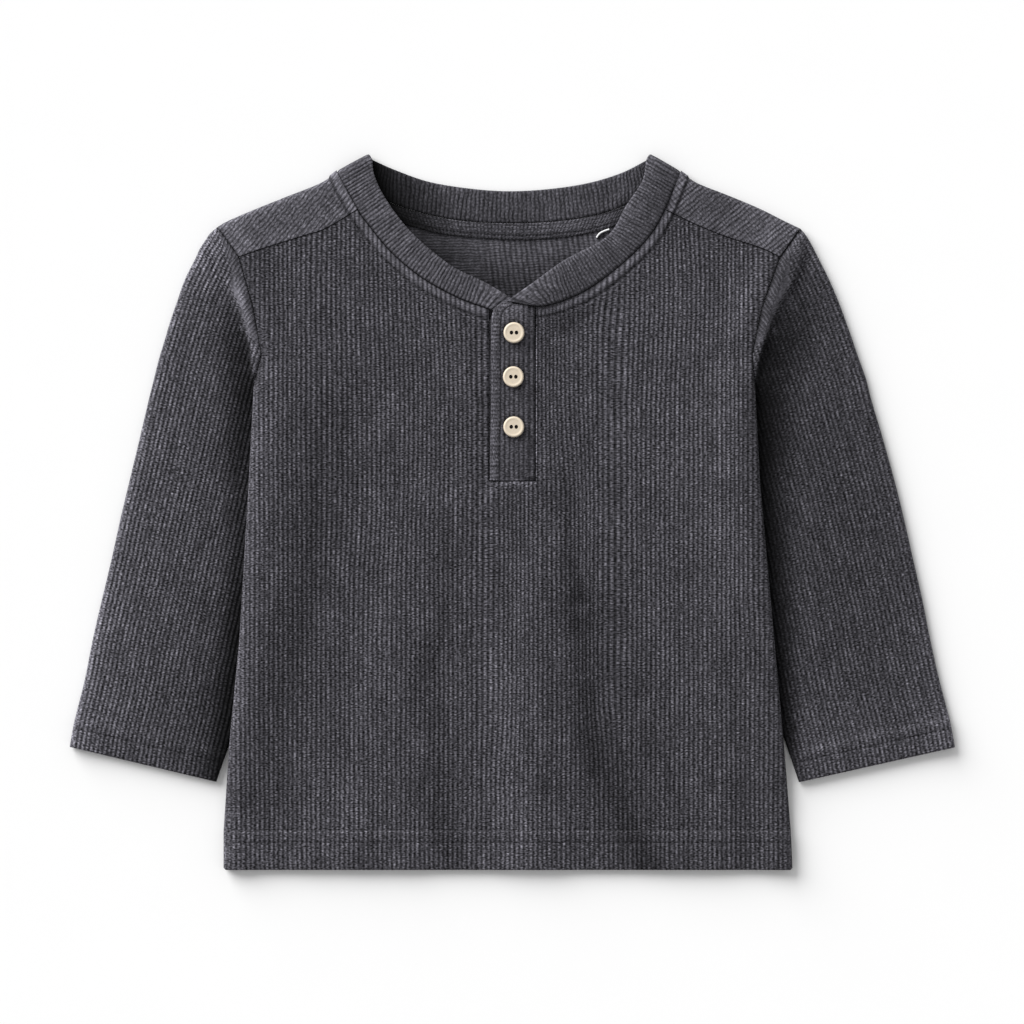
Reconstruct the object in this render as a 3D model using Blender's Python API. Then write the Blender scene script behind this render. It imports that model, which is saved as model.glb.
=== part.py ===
"""Henley shirt of charcoal rib knit, a baby's size, buttoned and laid flat on its back, face up.

+X runs across the chest, +Y from the hem to the neck and +Z up from the surface that the shirt lies on.
Sizes here are millimetres; the objects are made in metres. Every piece of cloth is one closed wall: rows
of points over its outer face, rows over its inner face, and strips that join the two along the edges.
Where two pieces are sewn, both read the same seam line and stop half a seam gap short of it.
"""
import bmesh
import bpy
import numpy as np

MM = 0.001

# ---- the cloth
CLOTH = 1.3            # thickness of the knit between its ribs
RIB_RAISE = 0.4        # how far a rib stands above the groove beside it
RIB_PITCH = 2.26       # from one rib to the next over the body
SLEEVE_RIBS = 34       # ribs over the flat width of a sleeve
SLEEVE_COLUMNS = 8     # columns of points where a sleeve has no ribs, inside and beneath
BAND_THICK = 2.0       # the doubled neckband
BAND_RIB_RAISE = 0.3
BAND_RIB_PITCH = 1.8
BAND_FRONT = 98.0      # length of the neckband from a shoulder to the placket, and round the back
BAND_BACK = 158.0
PLACKET_THICK = 1.2
PLACKET_RIB_RAISE = 0.24
TAPE_THICK = 0.6
LABEL_STANDS = 1.6     # height of the folded label, which stands on its edge
HEM_FOLD = 0.6         # what the turned-up hem adds to one layer
HEM_DEPTH = 18.8
NECK_RIDGE = 0.8       # the seam allowance pressed down beside the neckband
NECK_RIDGE_WIDTH = 6.0
SEAM_GAP = 0.3         # between two pieces along a seam
LAYER_GAP = 0.3        # between two layers that lie on each other

# ---- folds, over both layers
FOLD_THICK = 4.8       # height of the body's side folds and shoulder folds
BAND_FOLD_THICK = 6.0  # height of the neckband where it turns over at a shoulder
SLEEVE_FOLD_THICK = 4.0
FOLD_REACH = 10.0      # how far from a fold the two layers close up again
ARMHOLE_ROLL = 3.0     # the soft roll of sleeve cloth along an armhole seam
TUCK_THICK = 2 * CLOTH + LAYER_GAP
SIDE_LIFT = TUCK_THICK + LAYER_GAP   # the body's sides lie on the tucked-in sleeves
LIFT_FALL_BACK = 12.0
LIFT_FALL_FRONT = 30.0

# ---- the placket and its buttons
HALF_PITCH = RIB_PITCH / 2
SLIT_LEFT = -10 * HALF_PITCH
SLIT_RIGHT = 10 * HALF_PITCH
SLIT_BOTTOM = 14.6
BUTTON_DIAMETER = 10.0
BUTTON_THICK = 2.2
BUTTON_HOLE = 1.5
BUTTON_HOLE_SPACING = 2.4
BUTTON_SEGMENTS = 20


def table(columns, *rows):
    """A short table as a dictionary of arrays, one array for each named column."""
    return dict(zip(columns.split(), np.array(rows, float).T))


# the body's left and right edge: side fold below the underarm, armhole seam above it
HEM_Y = -171.6
UNDERARM_Y = 59.5
CORNER_Y = 122.2       # where the forward shoulder seam meets the armhole seam
BODY_EDGE = table(
    "y left right",
    (-171.6, -137.6, 133.4),
    (-170.6, -138.5, 134.2),
    (-152.2, -138.5, 133.4),
    (-112.0, -135.8, 130.1),
    (-61.4, -130.9, 125.5),
    (14.6, -126.4, 118.6),
    (59.5, -124.1, 116.3),
    (75.4, -120.4, 114.9),
    (98.0, -124.3, 119.6),
    (122.2, -131.1, 128.2),
)
# how far in from each edge the body is lifted by the tucked-in sleeve
LIFT_EDGE = table(
    "y left right",
    (-112.0, -126.0, 122.0),
    (-61.4, -117.5, 112.0),
    (14.6, -115.5, 110.5),
    (59.5, -117.5, 110.5),
)

# one sleeve section a row, from cuff to armhole: outer fold, underarm fold, and how far the section follows
# the armhole seam instead of a straight line
SLEEVE_LEFT = table(
    "outer_x outer_y inner_x inner_y follow",
    (-212.4, -112.6, -142.1, -129.4, 0.0),
    (-209.8, -98.9, -136.1, -112.3, 0.0),
    (-208.6, -93.0, -134.0, -107.0, 0.0),
    (-201.4, -61.4, -125.0, -79.7, 0.0),
    (-183.6, 15.4, -118.3, -3.8, 0.0),
    (-174.5, 53.8, -118.6, 25.0, 0.10),
    (-166.8, 82.6, -121.6, 39.4, 0.35),
    (-157.2, 111.4, -123.2, 48.0, 0.66),
    (-150.0, 126.2, -124.4, 53.0, 0.84),
    (-145.6, 132.3, -124.9, 56.2, 0.93),
    (-141.4, 136.1, -124.1, 59.5, 1.0),
)
SLEEVE_RIGHT = table(
    "outer_x outer_y inner_x inner_y follow",
    (212.2, -112.8, 138.0, -129.6, 0.0),
    (209.5, -98.9, 129.8, -110.9, 0.0),
    (208.2, -93.0, 127.6, -105.0, 0.0),
    (200.4, -61.4, 120.2, -79.7, 0.0),
    (183.1, 15.4, 113.0, -3.8, 0.0),
    (172.1, 53.8, 112.4, 25.0, 0.10),
    (163.0, 82.6, 114.0, 39.4, 0.35),
    (152.6, 111.4, 115.6, 48.0, 0.66),
    (145.2, 126.2, 116.6, 53.0, 0.84),
    (141.0, 132.0, 117.1, 56.2, 0.93),
    (137.5, 135.2, 116.3, 59.5, 1.0),
)

# the height of the neckband's underside, by how far along it from the shoulder fold (0) to its end (1)
BAND_RISE = table(
    "along left right",
    (0.00, 4.0, 4.0),
    (0.12, 3.6, 3.6),
    (0.22, 3.0, 3.0),
    (0.35, 2.6, 2.6),
    (0.55, 2.5, 2.5),
    (0.75, 1.8, 2.9),
    (0.90, 1.6, 3.9),
    (1.00, 1.6, 4.2),
)

# broad soft folds that the front panel keeps, a row each
FRONT_FOLDS = table(
    "top_x top_y bottom_x bottom_y half_width height",
    (8.0, -20.0, 2.0, -165.0, 17.0, 1.0),
    (-60.0, 40.0, -72.0, -165.0, 26.0, 0.8),
    (62.0, 30.0, 78.0, -165.0, 24.0, 0.8),
)


def smooth(t):
    """0 to 1 with level ends."""
    t = np.clip(t, 0.0, 1.0)
    return t * t * (3 - 2 * t)


def bell(t):
    """1 at 0, falling to 0 at -1 and 1."""
    return smooth(1 - np.abs(t))


def through(points, steps=16):
    """A smooth line through points (Catmull-Rom), steps points a span."""
    p = np.asarray(points, float)
    p = np.vstack([2 * p[0] - p[1], p, 2 * p[-1] - p[-2]])
    u = np.linspace(0, 1, steps, endpoint=False)[:, None]
    spans = []
    for a, b, c, d in zip(p, p[1:], p[2:], p[3:]):
        spans.append(b + 0.5 * u * (c - a + u * (2 * a - 5 * b + 4 * c - d + u * (3 * (b - c) + d - a))))
    return np.vstack(spans + [p[-2:-1]])


class Line:
    """A smooth line in the plan through a few points, read by the share of its length."""

    def __init__(self, *points, bent=True):
        self.path = through(points) if bent else np.array(points, float)
        run = np.concatenate([[0.0], np.cumsum(np.hypot(*np.diff(self.path, axis=0).T))])
        self.length = run[-1]
        self.share = run / run[-1]

    def at(self, t):
        return np.stack([np.interp(t, self.share, self.path[:, k]) for k in (0, 1)], axis=-1)

    def moved(self, t, distance):
        """Points at t, moved to the left of the line's direction."""
        ahead = self.at(np.minimum(t + 0.01, 1.0)) - self.at(np.maximum(t - 0.01, 0.0))
        ahead /= np.hypot(ahead[..., 0], ahead[..., 1])[..., None]
        return self.at(t) + distance * np.stack([-ahead[..., 1], ahead[..., 0]], axis=-1)

    def away(self, x, y):
        """How far each point x, y is from the line."""
        a, b = self.path[:-1], self.path[1:]
        q = np.stack([np.ravel(x), np.ravel(y)], axis=-1)[:, None, :]
        t = np.clip(((q - a) * (b - a)).sum(-1) / ((b - a) ** 2).sum(-1), 0, 1)
        d = np.hypot(*np.moveaxis(q - a - t[..., None] * (b - a), -1, 0)).min(1)
        return d.reshape(np.shape(x))


# seam lines of each side, -1 the left one and 1 the right one
SHOULDER_POINT = {-1: (-141.5, 136.7), 1: (138.0, 135.9)}   # the armhole seam's upper end
SHOULDER_FOLD = {      # the outermost line of the shoulder, from the sleeve to the neck
    -1: Line((-141.5, 136.7), (-116.0, 147.6), (-92.0, 157.8), (-84.2, 163.2)),
    1: Line((138.0, 135.9), (111.5, 146.6), (86.5, 158.4), (80.6, 163.0)),
}
SHOULDER_SEAM = {      # the forward shoulder seam, from the sleeve to the neck
    -1: Line((-131.1, 122.2), (-119.8, 126.2), (-100.8, 132.2), (-89.8, 135.8), (-74.2, 145.0)),
    1: Line((128.2, 122.2), (118.0, 126.9), (102.3, 132.0), (88.9, 137.4), (73.0, 145.0)),
}
NECK_SEAM = {          # neckband to body over the front, from the shoulder fold to the placket
    -1: Line((-84.0, 163.4), (-74.2, 145.0), (-69.4, 138.2), (-58.3, 124.8), (-43.4, 112.3),
             (-26.2, 102.7), (-14.2, 98.2), (-7.4, 95.6)),
    1: Line((80.4, 163.2), (73.0, 145.0), (65.5, 132.0), (52.1, 118.6), (37.2, 107.5),
            (25.2, 101.7), (16.1, 98.9), (11.3, 98.6)),
}
NECK_FREE = {          # the neckband's inner edge over the front
    -1: Line((-68.8, 171.4), (-67.4, 163.7), (-61.7, 151.7), (-52.1, 138.2), (-41.0, 127.2),
             (-27.6, 117.1), (-12.7, 109.9), (1.8, 101.2)),
    1: Line((65.8, 171.4), (63.1, 160.3), (54.5, 146.9), (44.5, 132.7), (25.2, 121.0),
            (11.8, 111.4), (-2.6, 101.2)),
}
BACK_NECK_SEAM = Line((-82.6, 160.8), (-72.0, 155.2), (-60.7, 150.6), (-45.8, 145.4), (-25.2, 141.2),
                      (-0.7, 139.9), (23.8, 141.1), (42.5, 144.4), (56.5, 149.6), (68.0, 154.9), (79.2, 160.6))
BACK_FREE = Line((-67.2, 168.9), (-55.9, 163.2), (-39.6, 157.0), (-19.0, 154.1), (-0.7, 153.6),
                 (18.0, 154.1), (36.2, 157.4), (52.1, 163.7), (64.3, 168.9))
TAPE_LOWER = Line((-58.5, 140.6), (-47.3, 136.8), (-31.0, 133.0), (-0.7, 130.6), (23.8, 131.8),
                  (41.0, 134.9), (54.5, 139.4))
TAPE_ENDS = (0.135, 0.865)   # where along the back neck seam the tape starts and stops


# ---------------------------------------------------------------- how high the layers lie

def body_edge(y, side):
    return np.interp(y, BODY_EDGE["y"], BODY_EDGE["left" if side < 0 else "right"])


def side_lift(x, y, fall):
    """The body's underside rises over each tucked-in sleeve and falls back to the surface inside it."""
    along = smooth((75.4 - y) / (75.4 - UNDERARM_Y)) * smooth((y + 152.0) / 40.0)
    total = 0.0
    for side in (-1, 1):
        inside = side * (np.interp(y, LIFT_EDGE["y"], LIFT_EDGE["left" if side < 0 else "right"]) - x)
        total = total + SIDE_LIFT * along * smooth(1 - inside / fall)
    return total


def fold_air(x, y):
    """The two layers stand apart near a fold, where the cloth turns over."""
    radius = FOLD_THICK / 2
    air = 0.0
    for side in (-1, 1):
        from_side = np.maximum(side * (body_edge(y, side) - x) - radius, 0)
        from_shoulder = np.maximum(SHOULDER_FOLD[side].away(x, y) - radius, 0)
        air = air + np.exp(-((np.minimum(from_side, from_shoulder) / FOLD_REACH) ** 2))
    return (FOLD_THICK - 2 * CLOTH - LAYER_GAP) * np.minimum(air, 1.0)


def front_folds(x, y):
    """The broad soft folds down the front."""
    total = 0.0
    for k in range(len(FRONT_FOLDS["height"])):
        f = {name: column[k] for name, column in FRONT_FOLDS.items()}
        down = (f["top_y"] - y) / (f["top_y"] - f["bottom_y"])
        axis = f["top_x"] + (f["bottom_x"] - f["top_x"]) * down
        total = total + f["height"] * bell((x - axis) / f["half_width"]) * smooth(down * 1.6)
    return total


def hem_fold(y):
    return HEM_FOLD * smooth((HEM_Y + HEM_DEPTH + 0.6 - y) / 1.2)


def back_floor(x, y):
    """Underside of the back panel."""
    return side_lift(x, y, LIFT_FALL_BACK)


def front_floor(x, y):
    """Underside of the front panel and of the shoulder flaps, on the same level as it."""
    return (CLOTH + LAYER_GAP + hem_fold(y) + fold_air(x, y) + front_folds(x, y)
            + side_lift(x, y, LIFT_FALL_FRONT))


def neck_ridge(x, y):
    """The pressed seam allowance raises the cloth along the neckband."""
    near = np.minimum(NECK_SEAM[-1].away(x, y), NECK_SEAM[1].away(x, y))
    return NECK_RIDGE * smooth((NECK_RIDGE_WIDTH + 1.2 - near) / 1.2)


def hem_round(y):
    """The share of its thickness that the cloth has just inside the rounded hem edge."""
    u = np.clip((y - HEM_Y) / 1.0, 0, 1)
    return 0.45 + 0.55 * np.sqrt(1 - (1 - u) ** 2)


# ---------------------------------------------------------------- walls

class Wall:
    """The points and faces of one closed wall."""

    def __init__(self):
        self.points, self.faces = [], []

    def row(self, x, y, z):
        start = len(self.points)
        x, y, z = np.broadcast_arrays(x, y, z)
        self.points.extend(zip(x.tolist(), y.tolist(), z.tolist()))
        return np.arange(start, start + len(x))

    def place(self, ids):
        return np.array([self.points[i] for i in ids])

    def bridge(self, a, b, at_a=None, at_b=None):
        """Faces between two rows of points; each row may have its own count, matched by at_a and at_b."""
        if len(a) == len(b) and at_a is None:
            for k in range(len(a) - 1):
                self.face(a[k], b[k], b[k + 1], a[k + 1])
            return
        at_a = self.share(a) if at_a is None else at_a
        at_b = self.share(b) if at_b is None else at_b
        i = j = 0
        while i < len(a) - 1 or j < len(b) - 1:
            if j == len(b) - 1 or (i < len(a) - 1 and at_a[i + 1] <= at_b[j + 1]):
                self.face(a[i], b[j], a[i + 1])
                i += 1
            else:
                self.face(a[i], b[j], b[j + 1])
                j += 1

    def share(self, ids):
        p = self.place(ids)
        run = np.concatenate([[0.0], np.cumsum(np.linalg.norm(np.diff(p, axis=0), axis=1))])
        return run / run[-1]

    def face(self, *ids):
        ids = [int(i) for k, i in enumerate(ids) if i != ids[k - 1]]
        if len(ids) > 2:
            self.faces.append(ids)

    def skin(self, rows, marks=None):
        for k in range(len(rows) - 1):
            m = (None, None) if marks is None else (marks[k], marks[k + 1])
            self.bridge(rows[k], rows[k + 1], *m)

    def build(self, name, material):
        mesh = bpy.data.meshes.new(name)
        mesh.from_pydata((np.array(self.points) * MM).tolist(), [], self.faces)
        work = bmesh.new()
        work.from_mesh(mesh)
        bmesh.ops.delete(work, geom=[v for v in work.verts if not v.link_faces], context="VERTS")
        bmesh.ops.recalc_face_normals(work, faces=work.faces[:])
        if work.calc_volume(signed=True) < 0:
            bmesh.ops.reverse_faces(work, faces=work.faces[:])
        work.to_mesh(mesh)
        work.free()
        mesh.shade_smooth()
        mesh.set_sharp_from_angle(angle=0.9)
        mesh.materials.append(material)
        obj = bpy.data.objects.new(name, mesh)
        bpy.context.scene.collection.objects.link(obj)
        return obj


def material(name, colour, roughness):
    m = bpy.data.materials.new(name)
    m.use_nodes = True
    shader = m.node_tree.nodes["Principled BSDF"]
    shader.inputs["Base Color"].default_value = (*colour, 1.0)
    shader.inputs["Roughness"].default_value = roughness
    shader.inputs["Metallic"].default_value = 0.0
    return m


# ---------------------------------------------------------------- body panels

ARMHOLE_ROWS = (UNDERARM_Y, 75.4, 98.0)  # heights of the rows that bend with the armhole seam
EDGE_STEPS = 3                          # steps round a side fold's quarter
SIDE_RADIUS = (FOLD_THICK - LAYER_GAP) / 2


def edge_turn(y):
    """How far a body edge turns down: a quarter round at a side fold, a little at an armhole seam."""
    return np.radians(90.0 - 55.0 * smooth((y - UNDERARM_Y) / (75.4 - UNDERARM_Y)))


def edge_start(y, side):
    """Where the level part of a panel ends and its turned edge begins."""
    seam = np.where(y > UNDERARM_Y, SEAM_GAP / 2, 0.0)
    return body_edge(y, side) - side * (seam + SIDE_RADIUS * np.sin(edge_turn(y)))


START_X = {side: float(edge_start(75.4, side)) for side in (-1, 1)}
FAN_FROM = 0.35                         # ribs stay parallel inside this share of the half width


def column_x(column, y):
    """Where a column of the panel lies at height y; the outer ones fan out with the body's width."""
    x = column
    for side in (-1, 1):
        u = np.clip((column / START_X[side] - FAN_FROM) / (1 - FAN_FROM), 0, 1)
        x = x + u * (edge_start(y, side) - START_X[side])
    return x


def panel_row(column, y, outer, front, sides=(-1, 1), slants=False):
    """One row of a body panel: its level columns and, on each listed side, its turned edge.

    The turned edge of a row that slants carries on along the slant.
    """
    y = np.broadcast_to(np.asarray(y, float), column.shape)
    x = column_x(column, y)
    rib = RIB_RAISE * (np.round(column / HALF_PITCH) % 2 == 0) if outer and front else 0.0
    thick = (CLOTH + hem_fold(y)) if not front else (CLOTH + hem_fold(y) + neck_ridge(x, y))
    floor = front_floor(x, y) if front else back_floor(x, y)
    radius = SIDE_RADIUS
    if front:
        level = floor + (thick * hem_round(y) + rib * hem_round(y) if outer else 0.0)
    else:
        level = floor + (0.0 if outer else thick)
    parts_x, parts_y, parts_z, mark = [x], [y], [level], [column]
    for side in sides:
        end, beside = (0, 1) if side < 0 else (-1, -2)
        slope = (y[end] - y[beside]) / (x[end] - x[beside]) if slants else 0.0
        turn = edge_turn(y[end])
        steps = np.arange(1, EDGE_STEPS + 1) if outer else np.array([EDGE_STEPS])
        a = turn * steps / EDGE_STEPS
        inner = radius - thick[end]
        r = radius if outer else max(inner, 0.25)
        centre = (floor[end] + thick[end] - radius) if front else (floor[end] + radius)
        ex = x[end] + side * r * np.sin(a)
        ez = centre + (1 if front else -1) * r * np.cos(a)
        em = column[end] + side * 3.0 * steps / EDGE_STEPS
        if side < 0:
            ex, ez, em = ex[::-1], ez[::-1], em[::-1]
        at = 0 if side < 0 else len(parts_x)
        parts_x.insert(at, ex)
        parts_y.insert(at, y[end] + slope * (ex - x[end]))
        parts_z.insert(at, ez)
        mark.insert(at, em)
    return tuple(np.concatenate(p) for p in (parts_x, parts_y, parts_z, mark))


def seam_height(column, side):
    """The height y at which a column of the front meets the shoulder seam or the neck seam above it."""
    neck = NECK_SEAM[side].path[NECK_SEAM[side].path[:, 1] < 145.0]
    shoulder = SHOULDER_SEAM[side].path
    edge = np.vstack([shoulder, neck])
    order = np.argsort(edge[:, 0])
    ex, ey = edge[order, 0], edge[order, 1]
    y = np.full(column.shape, CORNER_Y)
    for _ in range(12):
        x = column_x(column, y)
        slope = np.interp(x, ex, np.gradient(ey, ex))
        y = np.interp(x, ex, ey) - SEAM_GAP / 2 * np.hypot(1, slope)
    return y, np.minimum(np.hypot(1, slope), 1.8)


def front_panel(cloth):
    wall = Wall()
    fine = np.arange(np.ceil(START_X[-1] / HALF_PITCH), np.floor(START_X[1] / HALF_PITCH) + 1) * HALF_PITCH
    fine = np.concatenate([[START_X[-1]], fine[1:-1], [START_X[1]]])
    coarse = fine[np.round(fine / HALF_PITCH) % 9 == 1]
    coarse = np.unique(np.concatenate([[START_X[-1], SLIT_LEFT, SLIT_RIGHT, START_X[1]], coarse]))
    coarse = coarse[np.concatenate([[True], np.diff(coarse) > 2.0])]
    coarse[-1] = START_X[1]
    columns_by_seam = np.unique(np.concatenate([fine[::3], [START_X[-1], SLIT_LEFT, SLIT_RIGHT, START_X[1]]]))
    hem_top = HEM_Y + HEM_DEPTH
    lower = {True: [HEM_Y, HEM_Y + 1.0, hem_top - 0.6, hem_top + 0.6, -112.0, -61.4, SLIT_BOTTOM],
             False: [HEM_Y + 0.3, hem_top - 0.6, hem_top + 0.6, -112.0, -61.4, SLIT_BOTTOM]}
    loops = {}
    for outer in (True, False):
        columns = fine if outer else coarse
        rows, marks = [], []
        for y in lower[outer]:
            x, yy, z, m = panel_row(columns, y, outer, front=True)
            rows.append(wall.row(x, yy, z))
            marks.append(m)
        wall.skin(rows, marks)
        whole, whole_mark = rows[-1], marks[-1]
        near = {"sides": {-1: [r[0] for r in rows], 1: [r[-1] for r in rows]}, "hem": (rows[0], marks[0])}
        for side in (-1, 1):
            limit = SLIT_LEFT if side < 0 else SLIT_RIGHT
            half = columns[side * (columns - limit) >= -1e-6]
            top, slope = seam_height(half, side)
            reach = np.minimum(top - SLIT_BOTTOM - 2.0, (NECK_RIDGE_WIDTH + SEAM_GAP) * slope)
            side_top = (top - reach)[0 if side < 0 else -1]
            levels = [SLIT_BOTTOM + (y - SLIT_BOTTOM) / (side_top - SLIT_BOTTOM) * (top - reach - SLIT_BOTTOM)
                      for y in ARMHOLE_ROWS]
            by_side = smooth((np.abs(half / START_X[side]) - 0.5) / 0.3)
            levels[-1] = (1 - by_side) * (top - reach) + by_side * levels[-1]
            levels.append(top)
            keep = side * (whole_mark - limit) >= -1e-6
            side_rows, side_marks = [whole[keep]], [whole_mark[keep]]
            for y in levels:
                if not outer and y is top:
                    half = columns_by_seam[side * (columns_by_seam - limit) >= -1e-6]
                    y = levels[-1] = seam_height(half, side)[0]
                x, yy, z, m = panel_row(half, y, outer, front=True, sides=(side,), slants=y is levels[-1])
                side_rows.append(wall.row(x, yy, z))
                side_marks.append(m)
            wall.skin(side_rows, side_marks)
            end, slit = (0, -1) if side < 0 else (-1, 0)
            near["sides"][side] += [r[end] for r in side_rows[1:]]
            near[("slit", side)] = [r[slit] for r in side_rows]
            near[("top", side)] = (side_rows[-1], side_marks[-1])
        keep = (whole_mark >= SLIT_LEFT - 1e-6) & (whole_mark <= SLIT_RIGHT + 1e-6)
        near["slit foot"] = (whole[keep], whole_mark[keep])
        loops[outer] = near
    out, inn = loops[True], loops[False]
    wall.bridge(out["hem"][0], inn["hem"][0], out["hem"][1], inn["hem"][1])
    wall.bridge(out["slit foot"][0], inn["slit foot"][0], out["slit foot"][1], inn["slit foot"][1])
    for side in (-1, 1):
        wall.bridge(out["sides"][side], inn["sides"][side])
        wall.bridge(out[("slit", side)], inn[("slit", side)])
        wall.bridge(*(r[("top", side)][0] for r in (out, inn)), *(r[("top", side)][1] for r in (out, inn)))
    return wall.build("front", cloth)


FOLD_STEPS = 5


def unit(v):
    return v / np.hypot(v[..., 0], v[..., 1])[..., None]


def flap_rows(side, s, outer):
    """The back panel's turn over one shoulder: the bottom of the fold, the fold, and the flap to its seam.

    s is the share of the way from the sleeve (0) to the neck (1). Each row is x, y, z.
    """
    fold = SHOULDER_FOLD[side].moved(s, 0.0)
    ahead = unit(SHOULDER_FOLD[side].at(np.minimum(s + 0.05, 1)) - SHOULDER_FOLD[side].at(np.maximum(s - 0.05, 0)))
    square = np.stack([-ahead[:, 1], ahead[:, 0]], axis=-1) * -side
    corner = SHOULDER_SEAM[side].at(s)
    at_sleeve = unit(SHOULDER_FOLD[side].at(0.0) - SHOULDER_SEAM[side].at(0.0))
    at_neck = unit(SHOULDER_FOLD[side].at(1.0) - SHOULDER_SEAM[side].at(1.0))
    w_sleeve = smooth(1 - s / 0.25)[:, None]
    w_neck = smooth((s - 0.75) / 0.25)[:, None]
    out = unit(square * (1 - w_sleeve - w_neck) + at_sleeve * w_sleeve + at_neck * w_neck)
    radius = FOLD_THICK / 2
    centre = fold - radius * out
    ridge = NECK_RIDGE * smooth((NECK_RIDGE_WIDTH + 1.2 - (1 - s) * SHOULDER_FOLD[side].length) / 1.2)
    rib = RIB_RAISE * (np.arange(len(s)) % 2 == 0) if outer else 0.0
    raised = (ridge + rib) if outer else 0.0 * s
    inset = np.where(s < 0.5, 1.0, -1.0)[:, None] * np.where((s <= 0) | (s >= 1), SEAM_GAP / 2, 0.0)[:, None]
    along = np.stack([ahead[:, 0], ahead[:, 1]], axis=-1) * inset
    rows = []
    steps = FOLD_STEPS if outer else 3
    for k in range(steps + 1):
        a = -np.pi / 2 + np.pi * k / steps
        lift = raised * smooth(k / steps * 2 - 0.2)
        r = (radius if outer else radius - CLOTH) + lift
        p = centre + along + (r * np.cos(a))[:, None] * out
        rows.append((p[:, 0], p[:, 1], radius + r * np.sin(a)))
    shares = (0.5, 1.0)
    for share in shares:
        p = centre + along + share * (corner - centre)
        if share == 1.0:
            p = p + SEAM_GAP * out + along
        z = front_floor(p[:, 0], p[:, 1])
        if outer:
            near = neck_ridge(p[:, 0], p[:, 1])
            z = z + CLOTH + rib + np.where(s > 0.5, near, 0.0)
        rows.append((p[:, 0], p[:, 1], z))
    return rows


def back_panel(cloth):
    wall = Wall()
    flank = np.array([0, 2.5, 5.0, 8.0, 11.0, 14.0, 18.0])
    middle = np.linspace(START_X[-1] + 30.0, START_X[1] - 30.0, 7)
    columns = np.concatenate([START_X[-1] + flank, middle, (START_X[1] - flank)[::-1]])
    upper = [-112.0, -61.4, SLIT_BOTTOM, *ARMHOLE_ROWS, CORNER_Y]
    hem_top = HEM_Y + HEM_DEPTH
    levels = {True: [HEM_Y, HEM_Y + 1.0, hem_top + 0.6, *upper],
              False: [HEM_Y, HEM_Y + 1.0, hem_top - 0.6, hem_top + 0.6, *upper]}
    across = {}
    for side in (-1, 1):
        count = int(round(SHOULDER_FOLD[side].length / HALF_PITCH / 2)) * 2
        across[(side, True)] = np.linspace(0, 1, count + 1)
        across[(side, False)] = np.linspace(0, 1, 27)
    loops = {}
    for outer in (True, False):
        rows, marks = [], []
        for y in levels[outer]:
            x, yy, z, m = panel_row(columns, y, outer, front=False)
            rows.append(wall.row(x, yy, z))
            marks.append(x)
        flaps = {side: [wall.row(*r) for r in flap_rows(side, across[(side, outer)], outer)] for side in (-1, 1)}
        seam_t = np.linspace(0, 1, 46)[1:-1]
        seam = BACK_NECK_SEAM.moved(seam_t, -SEAM_GAP / 2)
        neck = wall.row(seam[:, 0], seam[:, 1], 0.0 if outer else CLOTH)
        top = np.concatenate([flaps[-1][0], neck, flaps[1][0][::-1]])
        rows.append(top)
        marks.append(wall.place(top)[:, 0])
        wall.skin(rows, marks)
        for side in (-1, 1):
            wall.skin(flaps[side])
        loops[outer] = {
            "hem": rows[0],
            "neck": np.concatenate([flaps[-1][0][-1:], neck, flaps[1][0][-1:]]),
            "sides": {-1: [r[0] for r in rows[:-1]] + [r[0] for r in flaps[-1]],
                      1: [r[-1] for r in rows[:-1]] + [r[0] for r in flaps[1]]},
            "seam": {side: flaps[side][-1] for side in (-1, 1)},
            "by neck": {side: [r[-1] for r in flaps[side]] for side in (-1, 1)},
        }
    out, inn = loops[True], loops[False]
    for part in ("hem", "neck"):
        wall.bridge(out[part], inn[part])
    for part in ("sides", "seam", "by neck"):
        for side in (-1, 1):
            wall.bridge(out[part][side], inn[part][side])
    return wall.build("back", cloth)


# ---------------------------------------------------------------- sleeves

def armhole_line(side):
    """The whole armhole seam in the plan, from the shoulder point down to the underarm."""
    y = np.array([CORNER_Y, *ARMHOLE_ROWS[::-1]])
    lower = np.stack([body_edge(y, side), y], axis=-1)
    return Line(SHOULDER_POINT[side], *lower, bent=False)


def between(a, b, t):
    return a + np.asarray(t)[..., None] * (b - a)


class SleeveSection:
    """A section across a flattened sleeve, in the plan: straight by the cuff, bent like the armhole by the top."""

    def __init__(self, row, seam):
        self.outer = np.array([row["outer_x"], row["outer_y"]])
        self.inner = np.array([row["inner_x"], row["inner_y"]])
        self.follow, self.seam = row["follow"], seam
        self.length = np.hypot(*(self.inner - self.outer)) * (1 + 0.06 * self.follow)

    def at(self, t):
        """Points from the outer fold (0) to the underarm fold (1)."""
        bend = self.seam.at(t) - between(self.seam.at(0.0), self.seam.at(1.0), t)
        return between(self.outer, self.inner, t) + self.follow * bend


TURN_SHARES = {True: np.array([0.2, 0.4, 0.6, 0.8]), False: np.array([0.5])}   # outer face, inner face
LEAST_INSIDE = 0.15     # the least radius left inside a fold


def sleeve_top(p, side):
    """Height of a sleeve's upper face: two layers, fuller at the outer fold, with a roll by the armhole."""
    x, y = p[:, 0], p[:, 1]
    sections = SLEEVE_LEFT if side < 0 else SLEEVE_RIGHT
    outer_x = np.interp(y, sections["outer_y"], sections["outer_x"])
    from_fold = np.maximum(side * (outer_x - x) - SLEEVE_FOLD_THICK / 2, 0)
    puff = (SLEEVE_FOLD_THICK - TUCK_THICK) * np.exp(-((from_fold / FOLD_REACH) ** 2))
    from_seam = armhole_line(side).away(x, y)
    roll = ARMHOLE_ROLL * (0.5 + 0.5 * smooth(from_seam / 4.0)) * smooth((11.0 - from_seam) / 7.0)
    roll = roll * smooth((y - UNDERARM_Y - 2.0) / 16.0) * (0.55 + 0.45 * smooth((136.0 - y) / 14.0))
    return TUCK_THICK + np.hypot(puff, roll)


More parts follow.
